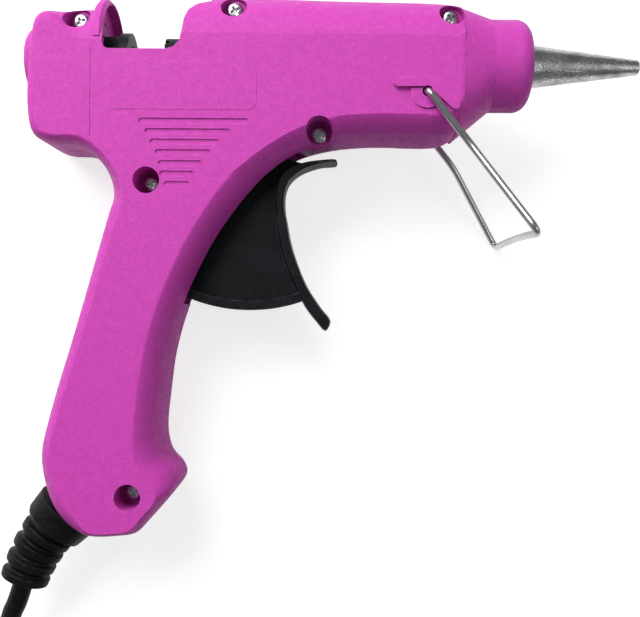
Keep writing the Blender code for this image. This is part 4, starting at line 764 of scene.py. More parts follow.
def band(points: Sequence[Sequence[float]], width: float) -> list[Pair]:
    """Return the outline of a band of one width along 2-D points, with round ends."""
    half = width / 2
    points = [Vector(point) for point in points]
    left, right = [], []
    for i, point in enumerate(points):
        before = points[i] - points[i - 1] if i else points[1] - points[0]
        after = points[i + 1] - points[i] if i + 1 < len(points) else before
        before.normalize()
        after.normalize()
        middle = (before + after).normalized()
        side = Vector((-middle.y, middle.x)) * half / middle.dot(after)
        left.append(point + side)
        right.append(point - side)
    start = points[0] - points[1]
    end = points[-1] - points[-2]
    end_angle = math.atan2(end.y, end.x)
    start_angle = math.atan2(start.y, start.x)
    outline = [tuple(p) for p in right[:-1]]
    outline += arc(points[-1], half, end_angle - math.pi / 2, end_angle + math.pi / 2, CORNER)
    outline += [tuple(p) for p in reversed(left[1:-1])]
    outline += arc(points[0], half, start_angle - math.pi / 2, start_angle + math.pi / 2, CORNER)
    return outline[1:]


def relief_axis() -> tuple[Vector, Vector]:
    """Return the start of the strain relief's curve and its direction there, out of the handle."""
    start = place(*Sizes.relief_start_shares)
    return start, (place(*Sizes.relief_control_shares) - start).normalized()


def inner_cord_corners() -> tuple[Vector, Vector, Vector]:
    """Return the start, the corner and the end of the lead's curve inside the handle."""
    start, out = relief_axis()
    base = start - out * (Sizes.wall + Sizes.gap * 2 + Sizes.relief_inner_length)
    return base, base - out * Sizes.inner_cord_control, place(*Sizes.inner_cord_end_shares)


def clamp_frame() -> tuple[Vector, Vector]:
    """Return the point on the inner cord where its clamp sits, and the cord's direction there."""
    _, corner, end = inner_cord_corners()
    ahead = (end - corner).normalized()
    return end - ahead * Sizes.clamp_from_end, ahead


def bar_front() -> float:
    """Return where the carriage's drive bar ends at the front."""
    return arm_tip().x + Sizes.bar_front


def arm_reach() -> float:
    """Return how far the trigger's arm reaches from the pivot into the drive bar."""
    rise = -(Sizes.bar_top + Sizes.arm_tip_depth) - PIVOT.y
    return rise / math.cos(Sizes.swing / 2)


def arm_tip() -> Vector:
    """Return the centre of the trigger arm's round tip, half a swing behind the upright."""
    angle = math.pi / 2 + Sizes.swing / 2
    return PIVOT + Vector((math.cos(angle), math.sin(angle), 0)) * arm_reach()


def jaw_pivot() -> Vector:
    """Return the jaw's pivot in the carriage's bar."""
    return Vector((along(Sizes.jaw_pivot_share), -(Sizes.bar_top + Sizes.jaw_pivot_depth), 0.0))


def head_seat() -> float:
    """Return the height of the floor that a case screw's head rests on."""
    return Sizes.half - Sizes.screw_head_depth - Sizes.screw_head_height - Sizes.gap


def spring_seat() -> float:
    """Return the x where the return spring meets the rib in front of it."""
    return along(Sizes.rib_shares[3][0]) - Sizes.rib_thickness / 2


def mirrored(piece: Piece) -> Piece:
    """Turn a piece into its mirror image across the parting plane."""
    build = bmesh.new()
    build.from_mesh(piece.data)
    bmesh.ops.scale(build, vec=(1.0, 1.0, -1.0), verts=build.verts)
    bmesh.ops.reverse_faces(build, faces=build.faces)
    build.to_mesh(piece.data)
    build.free()
    return piece


# The assemblies


@dataclass(frozen=True)
class Housing:
    """The two moulded halves of the housing."""

    # Each row: x and y of the side, x and y of the flat face, the edge's roundness, the side's draft.
    body_shares: tuple = (
        (0.496, 0.073, 0.409, 0.053, 0.5, 0.0), (0.472, 0.076, 0.402, 0.063, 0.6, 0.0),
        (0.447, 0.080, 0.390, 0.067, 0.8, 0.0), (0.419, 0.086, 0.372, 0.068, 1.0, 0.0),
        (0.342, 0.092, 0.316, 0.072, 1.0, 0.0), (0.138, 0.098, 0.137, 0.078, 1.0, 0.0),
        (-0.051, 0.100, -0.051, 0.080, 1.0, 0.0), (-0.205, 0.093, -0.205, 0.068, 1.0, 0.0),
        (-0.325, 0.081, -0.321, 0.062, 1.0, 0.0), (-0.386, 0.080, -0.374, 0.060, 1.0, 0.0),
        (-0.411, 0.068, -0.394, 0.050, 1.0, 0.0), (-0.421, 0.037, -0.403, 0.026, 1.0, 0.0),
        (-0.428, -0.033, -0.407, -0.033, 1.0, 0.0), (-0.428, -0.112, -0.407, -0.109, 1.0, 0.0),
        (-0.417, -0.151, -0.399, -0.142, 1.0, 0.0), (-0.388, -0.166, -0.378, -0.154, 1.0, 0.0),
        (-0.328, -0.172, -0.316, -0.159, 0.8, 0.0), (-0.287, -0.200, -0.273, -0.192, 0.6, 0.0),
        (-0.267, -0.233, -0.247, -0.229, 0.3, 0.0), (-0.262, -0.264, -0.238, -0.265, 0.2, 0.0),
        (-0.272, -0.296, -0.245, -0.301, 0.5, 0.0), (-0.333, -0.502, -0.307, -0.504, 0.5, 0.0),
        (-0.385, -0.673, -0.359, -0.673, 0.5, 0.0), (-0.400, -0.744, -0.375, -0.740, 0.5, 0.0),
        (-0.392, -0.800, -0.368, -0.785, 0.3, 0.0), (-0.373, -0.846, -0.350, -0.823, 0.5, 0.0),
        (-0.341, -0.880, -0.326, -0.852, 0.5, 0.0), (-0.308, -0.895, -0.301, -0.880, 0.5, 0.0),
        (-0.248, -0.895, -0.246, -0.882, 0.5, 0.0), (-0.215, -0.890, -0.221, -0.877, 0.3, 0.0),
        (-0.185, -0.862, -0.195, -0.851, 0.5, 0.0), (-0.142, -0.815, -0.170, -0.818, 0.3, 0.1),
        (-0.125, -0.788, -0.183, -0.802, 0.45, 0.26), (-0.133, -0.768, -0.194, -0.788, 0.45, 0.26),
        (-0.154, -0.746, -0.210, -0.762, 0.45, 0.26), (-0.165, -0.707, -0.217, -0.719, 0.45, 0.26),
        (-0.159, -0.629, -0.210, -0.634, 0.45, 0.26), (-0.147, -0.546, -0.197, -0.550, 0.45, 0.26),
        (-0.114, -0.443, -0.164, -0.444, 0.45, 0.26), (-0.056, -0.334, -0.105, -0.325, 0.45, 0.26),
        (0.007, -0.253, -0.043, -0.239, 0.45, 0.26), (0.051, -0.210, 0.000, -0.202, 0.45, 0.26),
        (0.099, -0.180, 0.060, -0.161, 0.45, 0.26), (0.166, -0.163, 0.141, -0.126, 0.45, 0.26),
        (0.245, -0.156, 0.222, -0.115, 0.45, 0.26), (0.375, -0.156, 0.368, -0.114, 0.45, 0.26),
        (0.403, -0.144, 0.391, -0.109, 0.45, 0.13), (0.448, -0.108, 0.405, -0.096, 0.0, 0.0),
        (0.496, -0.076, 0.409, -0.073, 0.3, 0.0),
    )
    inner_shrink_share: float = 0.4
    shoulder_share: float = 0.3
    window_shares: tuple = (
        (-0.2785, 0.200), (-0.2785, 0.012), (-0.2755, 0.004), (-0.2665, 0.001), (-0.158, 0.001), (-0.142, 0.005),
        (-0.130, 0.017), (-0.126, 0.035), (-0.123, 0.060), (-0.116, 0.080), (-0.101, 0.095), (-0.075, 0.105),
        (-0.070, 0.200),
    )
    roof_centre_share: float = 0.0122
    box_top_share: float = 0.066
    roof_start_share: float = -0.402
    roof_rise_share: float = 0.075
    roof_blend_share: float = 0.012
    roof_relief: float = 0.15 * MM
    front_roof: tuple = (
        (-0.140, 0.1081), (-0.026, 0.1106), (0.085, 0.1089), (0.154, 0.1065), (0.342, 0.1037), (0.397, 0.1008),
        (0.427, 0.0959), (0.479, 0.0886),
    )
    rear_roof: tuple = (
        (-0.396, 0.0813), (-0.391, 0.0886), (-0.378, 0.0943), (-0.350, 0.0959), (-0.290, 0.0959),
    )
    rear_roof_centre_share: float = 0.0024
    arch_floor_share: float = 0.0244
    lip_rear_share: float = -0.3005
    lip_front_share: float = -0.2785
    lip_centre_share: float = 0.0118
    lip_radius_share: float = 0.1077
    lip_wall: float = 2.8 * MM
    lip_rounding: float = 0.7 * MM
    lip_depth: float = 2.2 * MM
    lip_thickness: float = 1.3 * MM
    nose_radius: float = 10.75 * MM
    nose_length: float = 11.5 * MM
    nose_rounding: float = 3.6 * MM
    box_end_share: float = 0.418
    support_end_share: float = 0.4113
    taper_rear_share: float = 0.398
    taper_edge_share: float = 0.411
    taper_front_share: float = 0.482
    taper_bottom_share: float = -0.142
    taper_power: float = 4.4
    round_power: float = 2.0
    taper_sink: float = 0.07 * MM
    inlet_radius: float = 8.6 * MM
    inlet_rear_share: float = -0.447
    inlet_lip: float = 0.9 * MM
    inlet_depth: float = 7.5 * MM
    inlet_bore_radius: float = 4.6 * MM
    counterbore_radius: float = 3.0 * MM
    boss_wall: float = 1.2 * MM
    groove_shares: tuple = (
        (-0.202, -0.002, -0.130), (-0.190, -0.037, -0.149), (-0.180, -0.058, -0.168), (-0.170, -0.074, -0.187),
        (-0.164, -0.090, -0.207), (-0.161, -0.106, -0.226), (-0.153, -0.113, -0.245),
    )
    groove_width: float = 1.25 * MM
    groove_depth: float = 0.35 * MM
    mould_line_shares: tuple = (-0.3005, 0.002, -0.160)
    mould_line_size: float = 0.16 * MM
    panel_shares: tuple = ((-0.251, -0.039), (0.001, -0.039), (0.001, -0.093), (-0.251, -0.093))
    panel_width: float = 4.0 * MM
    panel_height: float = 0.10 * MM
    panel_turns: tuple = ((math.pi, math.pi / 2), (math.pi / 2, 0.0), (0.0, -math.pi / 2), (-math.pi / 2, -math.pi))
    stop_rib_shares: tuple = ((0.288, -0.058), (0.350, -0.057), (0.398, -0.098))
    stop_rib_width: float = 2.1 * MM
    stop_rib_height: float = 1.1 * MM
    stand_boss_radius: float = 3.7 * MM
    stand_boss_start: float = math.radians(-190.0)
    stand_boss_end: float = math.radians(10.0)
    slot_clearance: float = 0.6 * MM
    slot_end_clearance: float = 1.6 * MM
    slot_front_angle: float = math.radians(-9.0)
    web_spaces: tuple = ((33.0 * MM, math.radians(5.0)), (26.0 * MM, math.radians(13.0)))
    web_space_half: float = 2.1 * MM
    pin_half_length: float = 10.2 * MM
    pin_boss_radius: float = 3.3 * MM
    sleeve_wall: float = 1.4 * MM
    sleeve_rear_share: float = 0.068
    electrode_tab: float = 6.0 * MM
    lead_channel_shares: tuple = (-0.050, 0.402, -0.108, -0.084)
    lead_channel_inside: float = 7.0 * MM
    lead_channel_width: float = 3.0 * MM
    spring_radius: float = 1.9 * MM
    spring_wire_radius: float = 0.3 * MM
    clamp_screw_spacing: float = 10.4 * MM
    clamp_post_radius: float = 2.1 * MM
    clamp_screw_radius: float = 0.75 * MM
    clamp_screw_length: float = 8.0 * MM
    fine_steps: int = 4
    shell_rounds: int = 9
    cavity_rounds: int = 3
    limit_rounds: int = 2
    shoulder_steps: tuple = ((0.25, 0.5), (0.5, 1.0), (0.75, 2.2))
    window_floor_end: int = 4
    slot_margins: float = 4.0
    fan_steps: int = 64
    hub_steps: int = 10
    stand_boss_steps: int = 14
    panel_steps: int = 6

    def build(self) -> None:
        """Draw both halves of the housing."""
        for right, node in ((True, "shell_right"), (False, "shell_left")):
            half = soften(self.shell_half(right), Edges.SHELL)
            settle(half, f"half_{'right' if right else 'left'}", MAGENTA, "housing", [node])

    def body_rings(self, inset: float, bottom: float, rounds: int, steps: int) -> list[list[Vector]]:
        """Return the rings of the body's half form, drawn in by an inset from its surface."""
        rows = [
            (*place(row[0], row[1])[:2], 0.0, *place(row[2], row[3])[:2], row[4], row[5])
            for row in self.body_shares
        ]
        stations = []
        for sx, sy, _, fx, fy, roundness, draft in smooth_line(rows, steps, closed=True):
            side, flat = Vector((sx, sy)), Vector((fx, fy))
            inward = (flat - side).normalized()
            side, flat = side + inward * inset, flat + inward * inset * self.inner_shrink_share
            share = min(1.0, max(0.0, (sy / Sizes.height - self.box_top_share) / self.roof_blend_share))
            share *= min(1.0, max(0.0, (sx / Sizes.length - self.roof_start_share) / self.roof_rise_share))
            stations.append((side, side.lerp(flat, draft), flat, roundness, eased(share), sx))

        def rolled(point: Vector, z: float, share: float, x: float) -> Vector:
            """Return a point of a section, drawn to the barrel's round roof by a share."""
            if not share:
                return Vector((*point, z))
            centre, radius = self.roof_at(x)
            deep = min(1.0, max(0.0, z) / (Sizes.half + self.roof_relief - inset))
            high = Vector((point.x, centre + (radius - inset) * math.sqrt(1.0 - deep * deep)))
            return Vector((*point.lerp(high, share), z))

        ledge = Sizes.side - inset * self.inner_shrink_share
        rise = Sizes.half - inset - ledge
        rings = [[rolled(side, bottom, share, x) for side, _, _, _, share, x in stations]]
        if not inset:
            for high, lean in self.shoulder_steps:
                rings.append([
                    rolled(side.lerp(shoulder, self.shoulder_share * lean), ledge * high, share, x)
                    for side, shoulder, _, _, share, x in stations
                ])
        for step in range(rounds + 1):
            t = step / rounds
            ring = []
            for _, shoulder, flat, roundness, share, x in stations:
                up = t + (math.sin(t * math.pi / 2) - t) * roundness
                across = t + (1.0 - math.cos(t * math.pi / 2) - t) * roundness
                point = shoulder.lerp(flat, across)
                ring.append(rolled(point, ledge + rise * up, share, x))
            rings.append(ring)
        return rings

    def roof_at(self, x: float) -> tuple[float, float]:
        """Return the height of the round roof's centre and its radius at a place along the barrel."""
        rear = x < along(self.window_shares[self.window_floor_end][0])
        shares = self.rear_roof if rear else self.front_roof
        centre = (self.rear_roof_centre_share if rear else self.roof_centre_share) * Sizes.height
        places = [(along(share), radius * Sizes.height) for share, radius in shares]
        if x <= places[0][0]:
            return centre, places[0][1]
        for (low, first), (high, second) in zip(places, places[1:]):
            if x <= high:
                return centre, first + (second - first) * (x - low) / (high - low)
        return centre, places[-1][1]

    def slot_outline(self, radius: float, further: float) -> list[Pair]:
        """Return the fan that the trigger's web and rim sweep, with its clearance.

        Args:
            radius: How far it reaches from the pivot.
            further: How much further back it turns, in radians.
        """
        margin = self.slot_clearance * self.slot_margins / Sizes.trigger_reach
        low = Sizes.rim_back_angle - Sizes.swing - margin - further
        top = self.slot_front_angle
        hub = Sizes.hub_radius + self.slot_clearance
        fan = arc((PIVOT.x, PIVOT.y), radius, low, top, self.fan_steps)
        back = arc((PIVOT.x, PIVOT.y), hub, top + math.pi / 2, low - math.pi / 2 + math.tau, self.hub_steps)
        return fan + back

    def guide_profile(self) -> list[Pair]:
        """Return the clearance profile around the pieces that lie on the barrel's axis."""
        clear = Sizes.gap
        sleeve = Sizes.spigot_radius + Sizes.gap + self.sleeve_wall + clear
        places = (
            along(Sizes.carriage_rear_share) - Sizes.overrun, along(Sizes.guide_rear_share),
            along(self.sleeve_rear_share), along(Sizes.chamber_step_share),
            along(Sizes.chamber_front_share) + clear, along(Sizes.nose_front_share) + Sizes.overrun,
        )
        radii = (Sizes.carriage_radius + clear, Sizes.guide_radius + clear, sleeve,
                 Sizes.chamber_radius + clear, Sizes.neck_radius + clear)
        return stepped(places, radii, 0.0)

    def inner_supports(self) -> Piece:
        """Return the bosses and ribs of one half as one solid, still in their full outline."""
        low = Sizes.seam / 2
        boss = self.counterbore_radius + self.boss_wall
        start = Sizes.hub_half_width + Sizes.gap
        supports = rod("post", PIVOT + UP * start, PIVOT + UP * Sizes.half, self.pin_boss_radius)
        for x_share, y_share in Sizes.screw_shares:
            at = place(x_share, y_share)
            add(supports, rod("post", at + UP * low, at + UP * Sizes.half, boss))
        half = Sizes.rib_thickness / 2
        for x_share, y_share in Sizes.rib_shares:
            at = place(x_share, y_share)
            rib = block("rib", (at.x - half, at.y, low), (at.x + half, Sizes.height, Sizes.half))
            add(supports, rib)
        return supports

    def shell_half(self, right: bool) -> Piece:
        """Return one moulded half of the body, the right one with the screw heads' holes."""
        low = Sizes.seam / 2
        shell = loft("shell", self.body_rings(0.0, low, self.shell_rounds, self.fine_steps))
        cavity = loft("cavity", self.body_rings(Sizes.wall, -Sizes.overrun, self.cavity_rounds, 1))
        deep = Sizes.height
        cut(shell, block("nose_end", (along(self.box_end_share), -deep, -deep), (deep, deep, deep)))
        cut(cavity, block("front", (along(self.taper_rear_share), -deep, -deep), (deep, deep, deep)))
        cut(shell, cavity)
        supports = self.inner_supports()
        limit = loft("limit", self.body_rings(Sizes.wall / 2, -Sizes.overrun, self.limit_rounds, 1))
        cut(limit, block("front", (along(self.support_end_share), -deep, -deep), (deep, deep, deep)))
        combine(supports, limit, Operation.KEEP)
        add(shell, supports)
        add(shell, self.nose_taper(), self.nose_collar(), self.inlet_dome(), self.window_lip())
        add(shell, self.stop_rib(), self.stand_boss(), self.panel())
        if not right:
            add(shell, *self.clamp_posts())
        cut(shell, block("below", (-deep, -deep, -deep), (deep, deep, low)))
        cut(shell, turned("channel", self.guide_profile()))
        rear = along(self.inlet_rear_share) - Sizes.overrun
        cut(shell, rod("inlet", (rear, 0, 0), (along(Sizes.carriage_rear_share), 0, 0), self.inlet_bore_radius))
        window = [tuple(place(*row)[:2]) for row in self.window_shares]
        cut(shell, prism("window", window, -Sizes.overrun, Sizes.half + Sizes.overrun))
        fan = self.slot_outline(Sizes.trigger_reach + self.slot_end_clearance, 0.0)
        cut(shell, prism("slot", fan, -Sizes.overrun, Sizes.rim_half_width + self.slot_clearance))
        cut(shell, self.bar_channel(), self.spring_channel(), self.lead_channel(), self.heater_channel())
        cut(shell, self.lip_mouth())
        self.open_pivots(shell, right)
        self.cut_lines(shell)
        self.cut_relief_seat(shell)
        return shell if right else mirrored(shell)

    def open_pivots(self, shell: Piece, right: bool) -> None:
        """Cut the space behind the trigger and the holes for the screws, the pin and the stand."""
        for radius, further in self.web_spaces:
            fan = self.slot_outline(radius, further)
            cut(shell, prism("web_space", fan, -Sizes.overrun, self.web_space_half))
        for x_share, y_share in Sizes.screw_shares:
            cut(shell, *self.screw_hole(place(x_share, y_share), right))
        pin_end = PIVOT + UP * (self.pin_half_length + Sizes.gap)
        cut(shell, rod("socket", PIVOT - UP * Sizes.overrun, pin_end, Sizes.pin_radius + Sizes.gap))
        at = place(*Sizes.stand_pivot_shares)
        reach = UP * (Sizes.half + Sizes.stand_boss_height + Sizes.overrun)
        cut(shell, rod("wire_hole", at + reach * 0.5, at + reach, Sizes.wire_radius + Sizes.gap, 16))

    def cut_lines(self, shell: Piece) -> None:
        """Cut the grooves and the moulding line into the flat side."""
        for rear_end, front_end, y_share in self.groove_shares:
            outline = band((place(rear_end, y_share)[:2], place(front_end, y_share)[:2]), self.groove_width)
            cut(shell, prism("groove", outline, Sizes.half - self.groove_depth, Sizes.half + Sizes.overrun))
        across, top, bottom = self.mould_line_shares
        low = place(across, bottom, Sizes.half - self.mould_line_size)
        high = place(across, top, Sizes.half + Sizes.overrun)
        high.x += self.mould_line_size
        cut(shell, block("mould_line", low, high))

    def cut_relief_seat(self, shell: Piece) -> None:
        """Cut the seat of the strain relief, with room for its neck and inner collar."""
        start, out = relief_axis()
        seat = start - out * Sizes.gap
        beyond = seat + out * Sizes.relief_flange_length * 3
        cut(shell, rod("seat", seat, beyond, Sizes.relief_flange_radius + Sizes.gap))
        inner = start - out * (Sizes.wall + Sizes.relief_inner_length + Sizes.gap * 2)
        cut(shell, rod("neck_hole", start + out * Sizes.overrun, inner, Sizes.relief_neck_radius + Sizes.gap))
        pocket_start = start - out * (Sizes.wall + Sizes.gap)
        cut(shell, rod("collar_space", pocket_start, inner - out * Sizes.gap, Sizes.relief_inner_radius + Sizes.gap))

    def nose_collar(self) -> Piece:
        """Return the round collar at the barrel's front, with its rounded rim."""
        front = along(Sizes.nose_front_share)
        rear = front - self.nose_length
        profile = [(rear, 0.0), (rear, self.nose_radius)]
        centre = (front - self.nose_rounding, self.nose_radius - self.nose_rounding)
        profile += arc(centre, self.nose_rounding, math.pi / 2, 0.0, CORNER)
        profile.append((front, 0.0))
        return turned("nose", profile, sides=ROUND)

    def nose_taper(self) -> Piece:
        """Return the solid that draws the barrel's section down to the round collar."""
        centre, radius = self.roof_at(along(self.taper_edge_share))
        down = centre - self.taper_bottom_share * Sizes.height
        deep = Sizes.half - self.taper_sink
        thin = Sizes.wall / 2
        round_end = self.nose_radius
        stations = (
            (along(self.taper_rear_share), centre, radius - thin, down - thin, deep - thin, self.taper_power),
            (along(self.taper_edge_share), centre, radius, down, deep, self.taper_power),
            (along(self.taper_front_share), 0.0, round_end, round_end, round_end, self.round_power),
            (along(Sizes.nose_front_share) - self.nose_rounding, 0.0, *(round_end - thin,) * 3, self.round_power),
        )
        rings = []
        for x, middle, high, low, side, power in stations:
            ring = []
            for angle in angles(ROUND, 0.5):
                cosine, sine = math.cos(angle), math.sin(angle)
                bend = self.round_power / (power if cosine < 0 else self.round_power)
                y = middle + (high if cosine > 0 else low) * powered(cosine, bend)
                ring.append(Vector((x, y, side * powered(sine, bend))))
            rings.append(ring)
        return loft("taper", rings)

    def inlet_dome(self) -> Piece:
        """Return the domed collar around the stick inlet at the rear."""
        rear = along(self.inlet_rear_share)
        inner = rear + self.inlet_depth
        profile = [(rear, 0.0)]
        flat = self.inlet_bore_radius + self.inlet_lip
        for step in range(CORNER + 1):
            angle = math.pi / 2 * step / CORNER
            radius = flat + (self.inlet_radius - flat) * math.sin(angle)
            profile.append((rear + (self.inlet_radius - flat) * (1.0 - math.cos(angle)), radius))
        profile += [(inner, self.inlet_radius), (inner, 0.0)]
        return turned("dome", profile, sides=ROUND)

    def top_only(self, piece: Piece) -> Piece:
        """Return a round form along the barrel, kept over its floor."""
        deep = Sizes.half * 2
        floor = self.arch_floor_share * Sizes.height
        return cut(piece, block("floor", (-Sizes.length, -Sizes.height, -deep), (Sizes.length, floor, deep)))

    def window_lip(self) -> Piece:
        """Return the raised arch along the window's rear edge."""
        rear, front = along(self.lip_rear_share), along(self.lip_front_share)
        soft = self.lip_rounding
        radius = self.lip_radius_share * Sizes.height
        profile = (
            (rear, radius - self.lip_wall), (rear, radius - soft), (rear + soft, radius),
            (front - soft, radius), (front, radius - soft), (front, radius - self.lip_wall),
        )
        axis = Matrix.Translation(place(0.0, self.lip_centre_share))
        return self.top_only(turned("lip", profile, axis, sides=ROUND, hollow=True))

    def lip_mouth(self) -> Piece:
        """Return the space inside the window's lip, open to the window."""
        front = along(self.lip_front_share)
        start, end = place(0.0, self.lip_centre_share), place(0.0, self.lip_centre_share)
        start.x, end.x = front - self.lip_depth, front + Sizes.overrun
        radius = self.lip_radius_share * Sizes.height - self.lip_thickness
        return self.top_only(rod("mouth", start, end, radius, ROUND))

    def stop_rib(self) -> Piece:
        """Return the raised rib that stops the stand's legs."""
        points = [place(*row)[:2] for row in self.stop_rib_shares]
        outline = band(points, self.stop_rib_width)
        return prism("stop", outline, Sizes.half - Sizes.wall / 2, Sizes.half + self.stop_rib_height)

    def panel(self) -> Piece:
        """Return the plain raised panel over the grooves, with round corners."""
        outline = []
        for number, share in enumerate(self.panel_shares):
            at = place(*share)
            outline += arc((at.x, at.y), self.panel_width / 2, *self.panel_turns[number], self.panel_steps)
        return prism("panel", outline, Sizes.half - Sizes.wall / 2, Sizes.half + self.panel_height)

    def stand_boss(self) -> Piece:
        """Return the flat half-moon boss around the stand's pivot."""
        at = place(*Sizes.stand_pivot_shares)
        outline = arc((at.x, at.y), self.stand_boss_radius, self.stand_boss_start, self.stand_boss_end,
                      self.stand_boss_steps)
        return prism("boss", outline, Sizes.half - Sizes.wall / 2, Sizes.half + Sizes.stand_boss_height)

    def bar_channel(self) -> Piece:
        """Return the space for the carriage's drive bar, through the ribs."""
        rear = along(Sizes.carriage_rear_share) - Sizes.overrun
        front = bar_front() + arm_reach() * Sizes.swing + Sizes.overrun
        half = Sizes.bar_half_width + Sizes.gap
        bottom = -(Sizes.bar_top + Sizes.bar_depth + Sizes.gap * 2)
        top = -Sizes.carriage_radius * Sizes.keel_top_share
        return block("bar_channel", (rear, bottom, -Sizes.overrun), (front, top, half))

    def spring_channel(self) -> Piece:
        """Return the space for the return spring, from the drive bar to the rib in front."""
        centre = -(Sizes.bar_top + Sizes.bar_depth / 2)
        radius = self.spring_radius + self.spring_wire_radius + Sizes.gap
        return rod("spring_channel", (bar_front(), centre, 0), (spring_seat(), centre, 0), radius)

    def lead_channel(self) -> Piece:
        """Return the space for one lead through the ribs."""
        rear, front, bottom, top = self.lead_channel_shares
        low = place(rear, bottom, self.lead_channel_inside)
        high = place(front, top, self.lead_channel_inside + self.lead_channel_width)
        return block("lead_channel", low, high)

    def heater_channel(self) -> Piece:
        """Return the space for the heater's pocket and tabs, through the ribs."""
        start = along(Sizes.pocket_rear_share) - self.electrode_tab - Sizes.gap
        end = along(Sizes.pocket_rear_share) + Sizes.pocket_length + Sizes.gap
        bottom = -(Sizes.chamber_radius + Sizes.pocket_height + Sizes.pocket_wall * 2 + Sizes.gap * 2)
        half = Sizes.pocket_half_width + Sizes.gap
        return block("heater_channel", (start, bottom, -Sizes.overrun), (end, 0.0, half))

    def screw_hole(self, at: Vector, right: bool) -> tuple[Piece, ...]:
        """Return the cutters for one case screw in a half."""
        shank = Sizes.screw_shank_radius + Sizes.gap
        if right:
            floor = head_seat()
            mouth = at + UP * (Sizes.half + Sizes.overrun)
            return (
                rod("counterbore", at + UP * floor, mouth, self.counterbore_radius),
                rod("shank_hole", at - UP * Sizes.overrun, at + UP * (floor + Sizes.overrun), shank, 24),
            )
        depth = Sizes.screw_length - head_seat() + Sizes.gap
        return (rod("pilot_hole", at - UP * Sizes.overrun, at + UP * depth, shank, 24),)

    def clamp_posts(self) -> list[Piece]:
        """Return the two posts in the left half that carry the cord's clamp."""
        at, out = clamp_frame()
        side = Vector((-out.y, out.x, 0.0)) * self.clamp_screw_spacing / 2
        posts = []
        for way in (1, -1):
            centre = at + side * way
            low, high = centre + UP * (Sizes.seam / 2), centre + UP * (Sizes.half - Sizes.wall / 2)
            post = rod("post", low, high, self.clamp_post_radius, 16)
            end = centre + UP * self.clamp_screw_length
            cut(post, rod("pilot", centre, end, self.clamp_screw_radius + Sizes.gap, 24))
            posts.append(post)
        return posts


